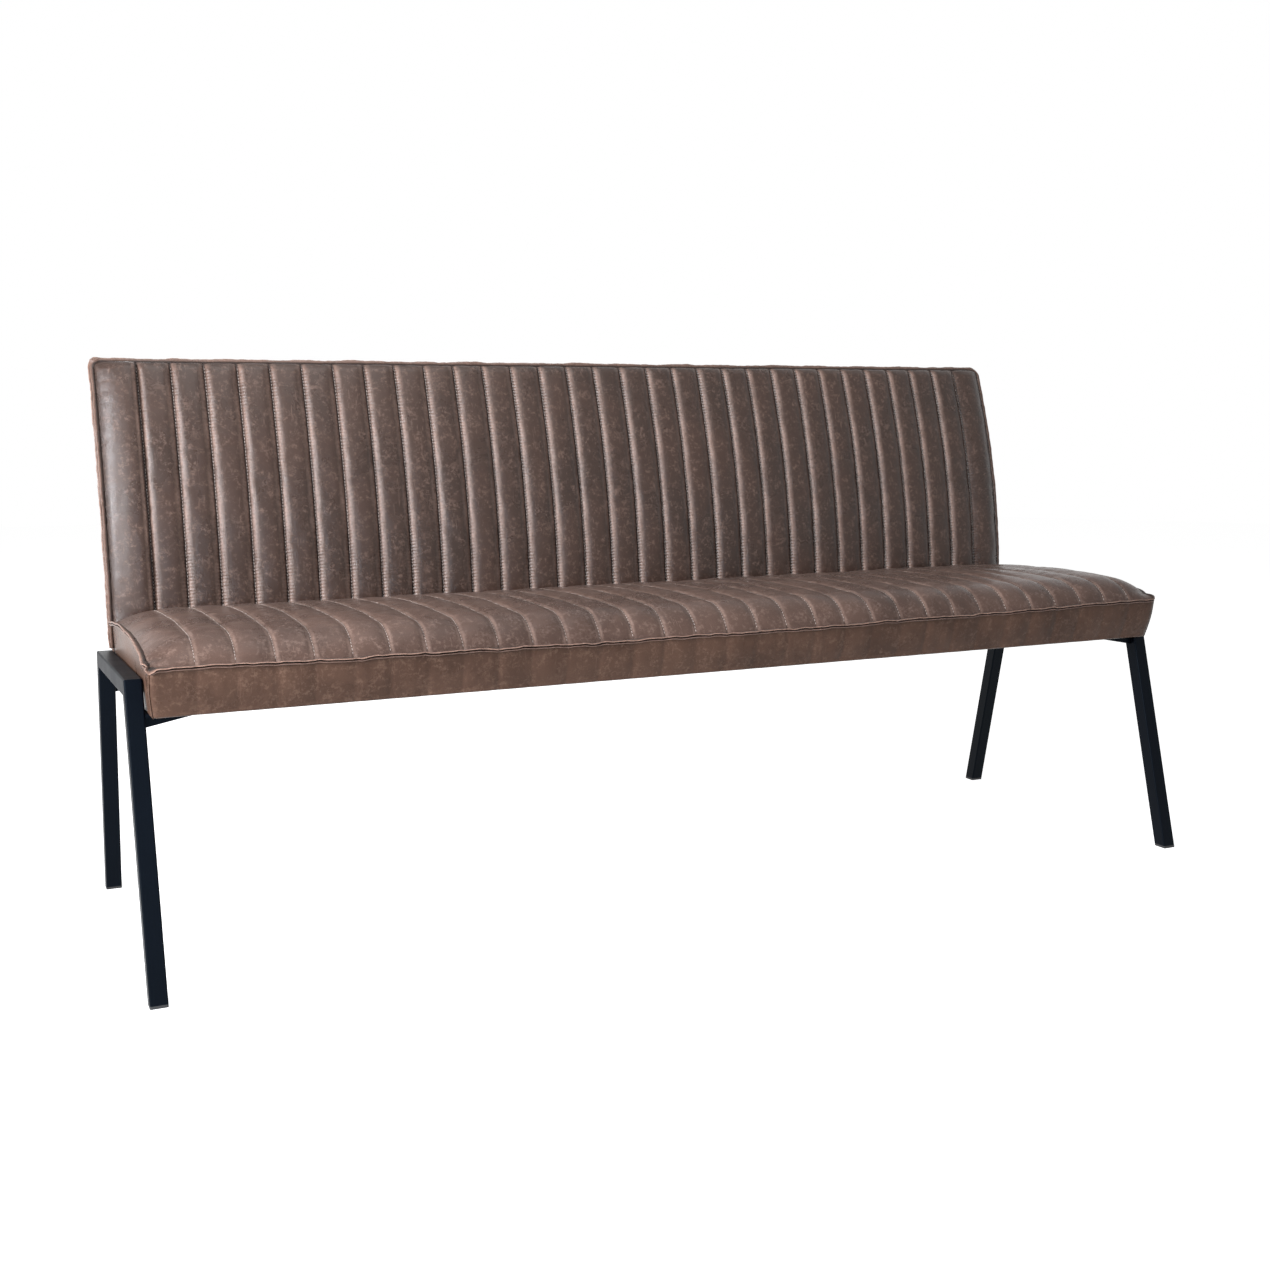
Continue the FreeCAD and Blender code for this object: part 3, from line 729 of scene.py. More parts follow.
class Finish(Enum):
    """The bench's finishes, each with its recipe."""

    # Seat and back are one quilted leather in two copies; the back's tones are set far darker than the
    # seat's, painted shade, and its pale colour is raised as painted highlight.
    SEAT_QUILT = LeatherFinish("seat_quilt_leather", (0.052, 0.0288, 0.022), (0.111, 0.0655, 0.0508),
                               (0.47, 0.325, 0.267), wear_and_highlight_weight=0.62, sheen=0.02, specular=0.14)
    BACK_QUILT = LeatherFinish("back_quilt_leather", (0.018, 0.0078, 0.0048), (0.036, 0.0168, 0.011),
                               (0.38, 0.247, 0.197), wear_and_highlight_weight=1.0, sheen=0.01, specular=0.34)
    PLAIN = LeatherFinish("plain_leather", (0.053, 0.0258, 0.0168), (0.108, 0.0572, 0.0385),
                          (0.35, 0.219, 0.157), wear_and_highlight_weight=0.5, sheen=0.01, specular=0.1)
    SEAM = LeatherFinish("seam_leather", (0.08, 0.046, 0.035), (0.14, 0.082, 0.063),
                         (0.48, 0.29, 0.22), wear_and_highlight_weight=0.95, sheen=0.04, specular=0.3)
    COAT = PlainFinish("black_powder_coat", (0.0008, 0.0013, 0.0028), (0.0012, 0.0019, 0.004),
                       (0.4, 0.48), 900.0, 0.12, specular=0.075, gloss=(0.66, 0.84, 1.0))
    PLASTIC = PlainFinish("black_plastic", (0.012, 0.012, 0.013), (0.017, 0.017, 0.018),
                          (0.5, 0.62), 500.0, 0.2)
    ZINC = PlainFinish("zinc_plating", (0.5, 0.5, 0.52), (0.62, 0.61, 0.6), (0.28, 0.42), 400.0, 0.1, 1.0)
    CLOTH = PlainFinish("black_non_woven", (0.011, 0.011, 0.012), (0.02, 0.02, 0.021),
                        (0.85, 0.95), 1400.0, 0.6)
    WEBBING = PlainFinish("elastic_webbing", (0.03, 0.03, 0.03), (0.06, 0.06, 0.058),
                          (0.8, 0.9), 1100.0, 0.6)
    FILLING = PlainFinish("foam_and_wadding", (0.62, 0.58, 0.47), (0.75, 0.72, 0.62),
                          (0.85, 0.95), 600.0, 0.7)
    THREAD = PlainFinish("sewing_thread", (0.3, 0.24, 0.21), (0.46, 0.38, 0.34), (0.55, 0.7), 1500.0, 0.3)
    TIMBER = TimberFinish("planed_timber", (0.55, 0.38, 0.22), (0.36, 0.22, 0.11), (6.0, 45.0, 45.0))
    PLYWOOD = TimberFinish("thin_plywood", (0.58, 0.43, 0.27), (0.46, 0.31, 0.18), (9.0, 40.0, 14.0))


class Palette:
    """The finishes as materials, each made once."""

    def __init__(self) -> None:
        """Build the shared groups and every finish."""
        groups = {LeatherFinish: (aged_leather_group(),), PlainFinish: (fine_noise_group(),),
                  TimberFinish: ()}
        self.materials = {f: f.value.material(*groups[type(f.value)]) for f in Finish}

    def dress(self, piece: Piece, finish: Finish) -> None:
        """Give a piece one finish all over."""
        piece.data.materials.clear()
        piece.data.materials.append(self.materials[finish])

    def fit(self, piece: Piece, finish: Finish, slot: str, *nodes: str, wall: float = 0.0,
            fill: float = 0.0) -> None:
        """Give a piece its wall and finish, and put it on the bench in place of construction nodes.

        Args:
            piece: The piece.
            finish: Its finish.
            slot: Its material slot. Not used.
            *nodes: Construction nodes that it stands for.
            wall: Thickness of an open surface, or 0.
            fill: How full a padded piece is, or 0 for any other. Not used.
        """
        if wall:
            thicken(piece, wall)
        self.dress(piece, finish)
        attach(piece, BODY)
        if nodes:
            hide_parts(*nodes)
        log.info("%s: %d faces", piece.name, len(piece.data.polygons))


# Sewn details shared by the seat and the back
@dataclass(frozen=True)
class RaisedSeam:
    """Two plies of leather sewn edge up: a flange with two pale raw edges and a slot between."""

    standout: float = 0.0072
    ply: float = 0.0016
    gap: float = 0.0011
    root: float = 0.003
    waver: float = 0.2
    short: float = 0.72
    ear: float = 0.5
    ear_width: float = 0.008
    ear_twist: float = 0.0035

    def profile(self) -> tuple[Array, Array, Array]:
        """Outline across the flange: one ply's half, mirrored into a slightly shorter second one.

        Returns:
            The outline as (out, across), and how raw and how shaded each of its points is.
        """
        o, p, g, r = self.standout, self.ply, self.gap, self.root
        half = np.array([(-r, g + p), (o * 0.3, g + p), (o * 0.5, g + p), (o * 0.93, g + p * 0.95),
                         (o, g + p * 0.5), (o * 0.94, g), (o * 0.4, g * 0.7)])
        outline = np.vstack([half * (1, -1), [(0.0, 0.0)], half[::-1] * (self.short, 1)])
        raw = np.array([0.0, 0.0, 0.2, 0.8, 1.0, 0.8, 0.0])
        dark = np.array([1.0, 0.9, 0.1, 0.0, 0.0, 0.2, 1.0])
        return (outline, np.concatenate([raw, [0.0], raw[::-1] * 0.4]),
                np.concatenate([dark, [1.0], dark[::-1]]))

    def sweep(self, name: str, path: Array, outward: Array, seed: int,
              knots: tuple[int, ...] = (), trim: Array | float = 1.0) -> Piece:
        """Carry the flange along a path, tipping and swelling a little as a hand-sewn edge does.

        Args:
            name: Name of the piece.
            path: Points of the sewn line.
            outward: Direction in which the flange stands out at each point.
            seed: Picks the irregularities.
            knots: Rows where the strip's ends overlap in a small twisted ear.
            trim: Share of the full standout at each point.

        Returns:
            The flange as a closed mesh.
        """
        along = unit(np.gradient(path, axis=0))
        side = unit(np.cross(along, outward))
        out = unit(np.cross(side, along))
        run = run_length(path)
        tip = self.waver * ripple(run, seed, 0.19) + 0.1 * ripple(run, seed + 1, 0.045, 3)
        reach = trim * (1.0 + 0.1 * ripple(run, seed + 2, 0.13) + 0.05 * ripple(run, seed + 3, 0.03, 3))
        for row in knots:
            near = np.exp(-((run - run[row]) / self.ear_width) ** 2)
            reach = reach + self.ear * near
            tip = tip + 1.8 * self.ear * near * np.sin((run - run[row]) / self.ear_twist)
        outline, raw, dark = self.profile()
        turned_out = out * np.cos(tip)[:, None] + side * np.sin(tip)[:, None]
        turned_side = side * np.cos(tip)[:, None] - out * np.sin(tip)[:, None]
        points = (path[:, None, :] + turned_out[:, None, :] * (outline[None, :, :1] * reach[:, None, None])
                  + turned_side[:, None, :] * outline[None, :, 1:])
        rows, columns = points.shape[:2]
        quads = grid_faces(rows, columns, closed=True)
        step = np.arange(columns // 2 - 1)
        cap = np.stack([step, step + 1, columns - 2 - step, columns - 1 - step], axis=-1)
        caps = np.vstack([cap, cap[:, ::-1] + (rows - 1) * columns])
        wear_and_highlight = np.broadcast_to(raw, (rows, columns)) * (0.8 + 0.2 * ripple(run, seed + 4, 0.02, 3))[:, None]
        fields = {"wear_and_highlight": wear_and_highlight, "shade": np.broadcast_to(dark, (rows, columns))}
        piece = finish_mesh(name, points.reshape(-1, 3), np.vstack([quads, caps]), fields)
        recalculate(piece)
        return piece


@dataclass(frozen=True)
class Stitching:
    """Thread along a seam: one short rounded stitch after another."""

    pitch: float = 0.0055
    length: float = 0.0038
    radius: float = 0.0006
    lift: float = 0.0002
    sides: int = 4

    def run(self, name: str, lines: list[Array], normals: list[Array]) -> Piece:
        """Lay stitches along sewn lines: small closed tubes that dip at both ends.

        Args:
            name: Name of the piece.
            lines: Points of each sewn line.
            normals: Outward direction at each point.

        Returns:
            All the stitches as one mesh.
        """
        near = 0.001
        places, ways, ups = [], [], []
        for line, normal in zip(lines, normals):
            run = run_length(line)
            stops = np.arange(self.pitch, run[-1] - self.pitch, self.pitch)
            places.append(resample(line, run, stops))
            ways.append(unit(resample(line, run, stops + near) - resample(line, run, stops - near)))
            ups.append(unit(resample(normal, run, stops)))
        place, way, up = (np.concatenate(part)[:, None, None, :] for part in (places, ways, ups))
        ring = np.linspace(0, 2 * np.pi, self.sides, endpoint=False) + np.pi / 4
        stations = np.array([-0.5, -0.3, 0.3, 0.5]) * self.length
        girth = np.array([0.35, 1.0, 1.0, 0.35]) * self.radius
        lift = np.array([-1.0, 1.0, 1.0, -1.0]) * self.lift
        upwards = girth[:, None] * np.cos(ring)[None, :] + lift[:, None]
        sideways = girth[:, None] * np.sin(ring)[None, :]
        points = (place + way * stations[None, :, None, None] + up * upwards[None, ..., None]
                  + unit(np.cross(way, up)) * sideways[None, ..., None])
        step = len(stations) * len(ring)
        tips = np.array([[3, 2, 1, 0], [step - 4, step - 3, step - 2, step - 1]])
        one = np.vstack([grid_faces(len(stations), len(ring), closed=True), tips])
        faces = (one[None, :, :] + (np.arange(len(place)) * step)[:, None, None]).reshape(-1, 4)
        return finish_mesh(name, points.reshape(-1, 3), faces[:, ::-1], {})


# Seat
@dataclass
class Seat:
    """Quilted seat cushion with its border, raised seam and stitches."""

    palette: Palette
    half: float = 0.875
    crown_radius: float = 2.5
    crown_height: float = 0.1155
    peak: float = 0.26
    roll_start: float = 0.042
    roll_radius: float = 0.07
    seam_height: float = 0.0585
    rear: float = 0.4207
    rear_radius: float = 0.03
    bulge: float = 0.0042
    pucker: float = 0.00055
    slack: float = 0.0011
    end_drop: float = 0.0175
    end_start: float = 0.8
    seam_rise: float = 0.0075
    rise_ease: float = 0.07
    front_ease: float = 0.05
    rear_ease: float = 0.03
    crease_width: float = 0.011
    shoulder: float = 0.003
    shoulder_at: float = 0.075
    shoulder_width: float = 0.045
    corner: float = 0.008
    rows: int = 92
    strip_rows: int = 22
    bend_rows: int = 6
    seam_points: int = 120
    thread_front: float = 0.004
    thread_rear: float = 0.01
    swell_cap: float = 0.0016
    held_rear: float = 0.012
    skirt_gap: float = 0.003
    edge_count: int = 760
    lower_half: float = 0.8716
    lower_edge: float = 0.0025
    turn_radius: float = 0.0045
    bracket_ease: float = 0.003

    def __post_init__(self) -> None:
        """Work out the arcs of the crown: front roll, crown and rear roll."""
        self.quilting = Quilting(self.half)
        lean = math.asin((self.peak - self.roll_start) / self.crown_radius)
        reach = self.crown_radius - self.roll_radius
        roll_w = self.crown_height - self.crown_radius + reach * math.cos(lean)
        roll_v = self.peak - reach * math.sin(lean)
        self.front_angle = math.acos((self.seam_height - roll_w) / self.roll_radius)
        rear_reach = self.crown_radius - self.rear_radius
        rear_lean = -math.asin((self.rear - self.rear_radius - self.peak) / rear_reach)
        self.arcs = ((self.roll_radius, self.front_angle, lean), (self.crown_radius, lean, rear_lean),
                     (self.rear_radius, rear_lean, -math.pi / 2))
        self.start = (roll_v - self.roll_radius * math.sin(self.front_angle), self.seam_height)
        self.length = sum(r * (a - b) for r, a, b in self.arcs)
        self.skirt = self.profile(np.array([self.length]))[1][0] - self.skirt_gap

    def profile(self, s: Array) -> tuple[Array, Array, Array]:
        """Path over the crown, arc after arc, and straight down the rear.

        Args:
            s: Arc length from the front seam.

        Returns:
            The path's v and w, and the lean of its normal.
        """
        v = np.full_like(s, self.start[0])
        w = np.full_like(s, self.start[1])
        angle = np.full_like(s, self.front_angle)
        done = 0.0
        for radius, first, last in self.arcs:
            part = np.clip(s - done, 0.0, radius * (first - last))
            now = first - part / radius
            v += radius * (np.sin(first) - np.sin(now))
            w += radius * (np.cos(now) - np.cos(first))
            angle = np.where(part > 0, now, angle)
            done += radius * (first - last)
        return v, w - np.clip(s - done, 0.0, None), angle

    def surface(self, x: Array, s: Array) -> Array:
        """Points of the cushion's top over (x, s), in bench coordinates.

        The crown's path is raised by the channels' swelling, rolled down at the ends, lifted a little
        along the front seam towards the ends, creased beside the seams and rounded at the front corners.

        Args:
            x: Place along the bench.
            s: Arc length from the front seam.

        Returns:
            Points with the shape of x and s, and three coordinates.
        """
        q = self.quilting
        v, w, angle = self.profile(s)
        near_front = smooth(s / self.front_ease)
        near_rear = smooth((self.length - s) / self.rear_ease)
        end = np.clip((np.abs(x) - self.end_start) / (self.half - self.end_start), 0, 1)
        shoulder = self.shoulder * np.exp(-((s - self.shoulder_at) / self.shoulder_width) ** 2)
        drop = (self.end_drop + shoulder) * end ** 1.7 * smooth(s / 0.028) * near_rear
        number = q.channel_number(x)
        fullness = 1.0 + 0.12 * np.sin(number * 2.4 + 0.7) + 0.1 * ripple(s + number * 0.37, 11, 0.3)
        flatter = 1.0 - 0.65 * smooth((s - 0.12) / 0.3)
        raised = self.bulge * q.swell(x, 3.4) * fullness * flatter * (0.35 + 0.65 * near_front) * near_rear
        beside = np.exp(-q.seam_distance(x) / self.crease_width)
        puckers = self.pucker * beside * ripple(s + number * 1.7, 12, 0.034, 4)
        slack = self.slack * ripple(x * 0.8 + s * 0.35, 13, 0.23) * near_front
        height = raised + (puckers + slack) * near_rear - drop
        x = x * (1.0 - 0.0073 * smooth((s - self.length + 0.008) / 0.02))
        v = v - height * np.sin(angle)
        w = w + height * np.cos(angle)
        rise = (self.seam_rise * (np.abs(x) / self.half) ** 1.6 + 0.0014 * ripple(x, 14, 0.34)
                + 0.0007 * ripple(x, 16, 0.1, 3))
        w = w + rise * (1 - smooth(s / self.rise_ease))
        x, forward = round_corners(x, -v, self.half, -self.start[0], self.corner)
        return LEAN.world(x, -forward, w)

    def cushion(self) -> None:
        """The quilted top as one padded piece, with pale lines of abrasion and painted highlight beside the
        seams and painted shade in them.
        """
        s = np.linspace(0, self.length, self.rows)
        s = np.concatenate([s, self.length + np.linspace(0, self.skirt, 8)[1:]])
        xs, ss = np.meshgrid(self.quilting.columns(), s)
        from_seam = self.quilting.seam_distance(xs)
        edge = np.exp(-np.minimum(ss, self.half - np.abs(xs)) / 0.005)
        patchy = np.clip(0.75 + 0.45 * ripple(ss + xs * 3.1, 15, 0.12), 0.2, 1.0)
        # Pale line along the seams' flanks: partly abrasion, partly painted highlight; the shade field is
        # painted shade in the seams.
        rubbed_and_highlight = 0.9 * np.exp(-((from_seam - 0.0025) / 0.0025) ** 2) * patchy
        fields = {"wear_and_highlight": np.maximum(rubbed_and_highlight, 0.4 * edge), "shade": 0.4 * np.exp(-from_seam / 0.0008),
                  "along": ss, "beside": np.exp(-from_seam / 0.005)}
        piece = grid_piece("seat_cushion", self.surface(xs, ss), fields)
        edges = (np.abs(xs) > self.half - ON_LINE) | (ss < ON_LINE) | (ss > self.length - self.held_rear)
        Swelling(self.swell_cap).fill(piece, (edges | (from_seam < ON_LINE)).ravel())
        self.palette.fit(piece, Finish.SEAT_QUILT, "quilted_leather", "seat_quilted_panel", "seat_foam",
                         wall=QUILT_WALL, fill=0.8)

    def edge_places(self, short: float) -> tuple[Array, Array]:
        """Places round the sewn edge, from the left end's rear, whose ends stop short of the rear roll's."""
        side = np.linspace(self.length - short, 0, self.edge_count // 5)
        return three_sides(self.half, side, 3 * self.edge_count // 5)

    def corner_rows(self) -> tuple[int, int]:
        """Rows of the sewn edge at the front's left and right corners."""
        side = self.edge_count // 5
        return side - 1, side + 3 * self.edge_count // 5 - 2

    def over_bracket(self, v: Array) -> Array:
        """Find where a place along an end lies over a bracket.

        Args:
            v: Places along the end.

        Returns:
            1 over a bracket, easing to 0 beside it.
        """
        over = np.zeros_like(v)
        ease = self.bracket_ease
        for node in BRACKETS[:2]:
            low, high = LEAN.box(node)
            over = np.maximum(over, smooth((v - low[1] + ease) / ease) * smooth((high[1] + ease - v) / ease))
        return over

    def border_points(self) -> tuple[Array, Array, Array]:
        """Strip under the sewn edge.

        Each row starts on the sewn edge, leans in to the frame's lower outline with a slight swelling
        on the front, and bends under on a small radius to end flat below the frame. Over the brackets
        it stops short of bending under.

        Returns:
            The points, the distance along the edge, and the share of the way down.
        """
        x, s = self.edge_places(0.008)
        top = self.surface(x, s)
        across, v, w = LEAN.level(top)
        front = self.start[0]
        low_v = np.where(s > 0, v - front * np.clip(1 - (v - front) / 0.12, 0, 1), v - front)
        low_x = across * (self.lower_half / self.half)
        tangent = np.gradient(np.stack([across, v], axis=-1), axis=0)
        out = unit(np.stack([tangent[:, 1], -tangent[:, 0]], axis=-1))
        t = np.linspace(0, 1, self.strip_rows)
        run = run_length(top)
        on_front = smooth((out[:, 1:] * -1.0 - 0.3) / 0.6)
        arch = np.sin(np.pi * t)[None, :]
        swell = (0.0002 + 0.0028 * on_front) * arch + 0.0012 * on_front
        folds = on_front * (0.0008 * ripple(run, 21, 0.16)[:, None] * arch
                            + 0.0004 * ripple(run, 22, 0.05, 4)[:, None] * (1 - t)[None, :])
        xs = across[:, None] + (low_x - across)[:, None] * t[None, :] + out[:, :1] * (swell + folds)
        vs = v[:, None] + (low_v - v)[:, None] * t[None, :] + out[:, 1:] * (swell + folds)
        ws = w[:, None] * (1 - t)[None, :] + self.lower_edge * t[None, :]
        bend = np.linspace(0, np.pi / 2, self.bend_rows + 1)[1:]
        turn = 1.0 - 0.6 * self.over_bracket(low_v)[:, None]
        narrow, wide = [0.005, 0.0055], [0.012, 0.0243]
        flat = on_front * narrow + (1 - on_front) * wide
        flat = np.where(turn < 1.0, narrow, flat) * turn
        under = np.hstack([self.turn_radius * (1 - np.cos(bend)) * turn, flat])
        below = self.lower_edge - self.turn_radius * np.append(np.sin(bend), [1.0, 1.0]) * turn
        xs = np.hstack([xs, xs[:, -1:] - out[:, :1] * under])
        vs = np.hstack([vs, vs[:, -1:] - out[:, 1:] * under])
        down = np.concatenate([t, np.linspace(1.02, 1.2, below.shape[1])])
        return LEAN.world(xs, vs, np.hstack([ws, below])), run, down

    def border(self) -> None:
        """Leather strip round the front and ends, turned under the frame, scuffed pale along both edges, with
        painted shade just under the sewn edge.
        """
        points, run, down = self.border_points()
        rubbed_and_highlight = np.clip(0.6 + 0.5 * ripple(run, 23, 0.08), 0, 1)[:, None]
        edges = 0.3 * np.exp(-down / 0.1) + 0.35 * np.exp(-((down - 1.0) / 0.06) ** 2)
        fields = {"wear_and_highlight": edges[None, :] * rubbed_and_highlight,
                  "shade": np.broadcast_to(0.85 * np.exp(-down / 0.035), points.shape[:2])}
        piece = grid_piece("seat_border_strip", points, fields)
        self.palette.fit(piece, Finish.PLAIN, "plain_leather", "seat_border", wall=COVER_WALL, fill=0.9)

    def corner_seams(self) -> None:
        """Upright seams that close the border at the two front corners, down to its lower bend."""
        points = self.border_points()[0]
        seam = RaisedSeam(standout=0.0012, ply=0.0009, gap=0.0003, root=0.0015, waver=0.12)
        for label, sign, row in zip(("left", "right"), (-1.0, 1.0), self.corner_rows()):
            path = points[row, :self.strip_rows + self.bend_rows - 1]
            outward = np.broadcast_to(LEAN.turn(sign * 0.75, -0.65, 0.0), path.shape)
            piece = seam.sweep(f"seat_{label}_corner_seam", path, outward, 61)
            self.palette.fit(piece, Finish.PLAIN, "seam_leather")

    def raised_seam(self) -> None:
        """The two-ply edge along the front and both ends, trimmed beside the right corner."""
        x, s = self.edge_places(0.012)
        path = self.surface(x, s)
        tangent = np.gradient(path, axis=0)
        level = unit(np.stack([tangent[:, 1], -tangent[:, 0], np.zeros(len(x))], axis=-1))
        lift = np.where(x > self.half - ON_LINE, -0.15, 0.1 + 0.3 * smooth((s - 0.03) / 0.09))
        outward = level + np.array([0, 0, 1.0]) * lift[:, None]
        left, right = self.corner_rows()
        trim = 1.0 - 0.6 * np.exp(-((np.arange(len(x)) - right) / 24.0) ** 2)
        piece = RaisedSeam().sweep("seat_raised_seam", path, outward, 31, (left,), trim)
        self.palette.fit(piece, Finish.SEAM, "seam_leather", "seat_edge_seam")

    def stitches(self) -> None:
        """Thread in every channel seam."""
        s = np.linspace(self.thread_front, self.length - self.thread_rear, self.seam_points)
        angle = self.profile(s)[2]
        normal = LEAN.turn(np.zeros_like(s), -np.sin(angle), np.cos(angle))
        lines = [self.surface(np.full_like(s, x), s) for x in self.quilting.seams()]
        piece = Stitching().run("seat_stitches", lines, [normal] * len(lines))
        self.palette.fit(piece, Finish.THREAD, "quilted_leather")

    def build(self) -> None:
        """Make every piece of the seat."""
        self.cushion()
        self.border()
        self.corner_seams()
        self.raised_seam()
        self.stitches()


# Back
@dataclass
class Back:
    """Quilted back cushion with its plain rear cover, raised seam and stitches."""

    palette: Palette
    half: float = 0.8735
    outer_seam: float = 0.8085
    face: float = 0.428
    arc_start: float = 0.081
    radius: float = 1.24
    arc: float = math.radians(20.1)
    depth: float = 0.0625
    bulge: float = 0.0085
    pucker: float = 0.0002
    slack: float = 0.0006
    recess: float = 0.006
    rise: float = 0.0045
    corner: float = 0.013
    foot: float = 0.058
    foot_height: float = 0.0065
    foot_ease: float = 0.062
    top_close: float = 0.016
    side_close: float = 0.022
    crease_width: float = 0.01
    edge_width: float = 0.003
    top_sag: float = 0.0006
    top_wave: float = 0.0005
    sag_ease: float = 0.12
    lower_edge: float = 0.004
    seam_start: float = 0.051
    seat_line: float = 0.1
    rear_wall: float = 0.009
    rows: int = 96
    seam_points: int = 120
    thread_shift: float = 0.0008
    thread_top: float = 0.004
    swell_cap: float = 0.0012
    held_foot: float = 0.11
    rear_crown: float = 0.004
    rear_wave: float = 0.0008

    def __post_init__(self) -> None:
        """Length of the back's line from its foot to the top seam."""
        self.quilting = Quilting(self.half, self.outer_seam)
        self.length = self.arc_start + self.radius * self.arc + self.rise

    def profile(self, s: Array) -> tuple[Array, Array, Array]:
        """The back's line: straight from its foot, then an arc.

        Args:
            s: Arc length from the foot.

        Returns:
            The line's v and w, and the lean of its normal.
        """
        turn = np.clip(s - self.arc_start, 0, None) / self.radius
        v = self.face + self.radius * (1 - np.cos(turn))
        w = np.minimum(s, self.arc_start) + self.radius * np.sin(turn)
        return v, w, turn

    def front(self, s: Array) -> Array:
        """Direction in which the back faces at arc length s."""
        turn = self.profile(s)[2]
        return LEAN.turn(np.zeros_like(s), -np.cos(turn), np.sin(turn))

    def place(self, x: Array, s: Array, height: Array) -> Array:
        """Points in front of the back's line, with the top corners rounded and the top sagging a little.

        Args:
            x: Place along the bench.
            s: Arc length from the foot.
            height: Distance in front of the line.

        Returns:
            Points on the bench.
        """
        x, s = round_corners(x, s, self.half, self.length, self.corner)
        sag = self.top_sag * (1 - (x / self.half) ** 2) + self.top_wave * ripple(x, 41, 0.4)
        s = s - sag * smooth((s - self.length + self.sag_ease) / self.sag_ease)
        v, w, turn = self.profile(s)
        return LEAN.world(x, v - height * np.cos(turn), w + height * np.sin(turn))

    def surface(self, x: Array, s: Array) -> Array:
        """Points of the quilted front: swelling channels that close to the sewn edge, over a flat foot.

        Args:
            x: Place along the bench.
            s: Arc length from the foot.

        Returns:
            Points on the bench.
        """
        q = self.quilting
        from_top = self.length - s
        from_side = self.half - np.abs(x)
        near_top = np.minimum(1, from_top / self.top_close)
        near_side = np.minimum(1, from_side / self.side_close)
        close = near_top ** 0.5 * near_side ** 0.6
        edge = np.exp(-np.minimum(from_top, from_side) / self.edge_width)
        number = q.channel_number(x)
        fullness = 1.0 + 0.08 * np.sin(number * 1.9 + 0.3) + 0.04 * ripple(s + number * 0.53, 42, 0.5, 3)
        outermost = np.abs(x) > q.outer_seam
        lean = np.where(x < 0, 0.5, 1.0)
        raised = self.bulge * q.swell(x, np.where(outermost, 2.6, 5.4), lean) * fullness
        raised = raised * np.where(outermost & (x < 0), 1.6, 1.0)
        beside = np.exp(-q.seam_distance(x) / self.crease_width)
        puckers = self.pucker * beside * ripple(s + number * 2.1, 43, 0.03, 4)
        slack = self.slack * ripple(x * 0.9 + s * 0.5, 44, 0.27)
        quilted = (raised + puckers + slack) * close - self.recess * edge
        flat = self.foot_height - (self.foot_height + self.recess) * (1 - smooth(from_side / 0.0055))
        return self.place(x, s, flat + (quilted - flat) * smooth((s - self.foot) / self.foot_ease))

    def cushion(self) -> None:
        """The quilted front as one padded piece, with pale strips of abrasion and painted highlight beside
        the seams, and painted shade in the seams and under the sewn edge.
        """
        rise = np.sin(np.linspace(0, 1, self.rows) * np.pi / 2) ** 0.9
        s = self.lower_edge + (self.length - self.lower_edge) * rise
        xs, ss = np.meshgrid(self.quilting.columns(), s)
        from_seam = self.quilting.seam_distance(xs)
        scallop = 0.0026 + 0.005 * np.exp(-from_seam / 0.007)
        edge = np.maximum(np.exp(-(self.length - ss) / scallop), np.exp(-(self.half - np.abs(xs)) / 0.003))
        patchy = np.clip(0.85 + 0.35 * ripple(ss + xs * 2.7, 45, 0.14), 0.3, 1.0)
        # Pale strips beside the seams: partly abrasion, partly painted highlight, kept faint on the right
        # outermost channel; the shade field is painted shade in the seams and along the sewn edge.
        wear_and_highlight_weight = np.where(xs > self.outer_seam, 0.25, 0.9)
        fields = {"wear_and_highlight": wear_and_highlight_weight * np.exp(-((from_seam - 0.005) / 0.003) ** 2) * patchy,
                  "shade": np.maximum(0.8 * np.exp(-from_seam / 0.0016), edge), "along": ss,
                  "beside": 1.6 * np.exp(-from_seam / 0.005)}
        piece = grid_piece("back_cushion", self.surface(xs, ss), fields)
        edges = (np.abs(xs) > self.half - ON_LINE) | (ss > self.length - ON_LINE) | (ss < self.held_foot)
        Swelling(self.swell_cap).fill(piece, (edges | (from_seam < ON_LINE)).ravel())
        self.palette.fit(piece, Finish.BACK_QUILT, "quilted_leather", "back_quilted_panel", "back_foam",
                         "back_lower_strip", wall=QUILT_WALL, fill=0.8)

    def rear_cover(self) -> None:
        """Plain leather round the sides, top and rear: a shell whose wall bends round to the rear face.

        Over a grid of (x, s), the depth behind the sewn edge grows with the inset from that edge as a
        superellipse, so the walls stand nearly straight and the rear edges are round.
        """
        wall = self.rear_wall
        ease = np.sin(np.linspace(0, 1, 22) * np.pi / 2)[:-1] ** 2.2 * wall
        inner_x = np.linspace(-self.half + wall, self.half - wall, 120)
        x = np.concatenate([-self.half + ease, inner_x, (self.half - ease)[::-1]])
        inner_s = np.linspace(wall, self.length - wall, 70)
        foot = self.lower_edge + ease * (wall - self.lower_edge) / wall
        xs, ss = np.meshgrid(x, np.concatenate([foot, inner_s, (self.length - ease)[::-1]]))
        inset = np.minimum(np.minimum(self.half - np.abs(xs), self.length - ss), ss)
        t = np.clip(inset / wall, 0, 1)
        depth = self.depth * (1 - (1 - t) ** 6) ** (1 / 6)
        crown = self.rear_crown * smooth(inset / 0.2)
        waves = self.rear_wave * ripple(xs + 0.4 * ss, 46, 0.42) * smooth(inset / 0.06)
        points = self.place(xs, ss, -(np.maximum(depth, self.recess) + crown + waves))
        wear_and_highlight = 0.3 * np.exp(-inset / 0.004) + 0.18 * np.exp(-((inset - wall) / 0.006) ** 2)
        piece = grid_piece("back_rear_shell", points[:, ::-1], {"wear_and_highlight": wear_and_highlight[:, ::-1]})
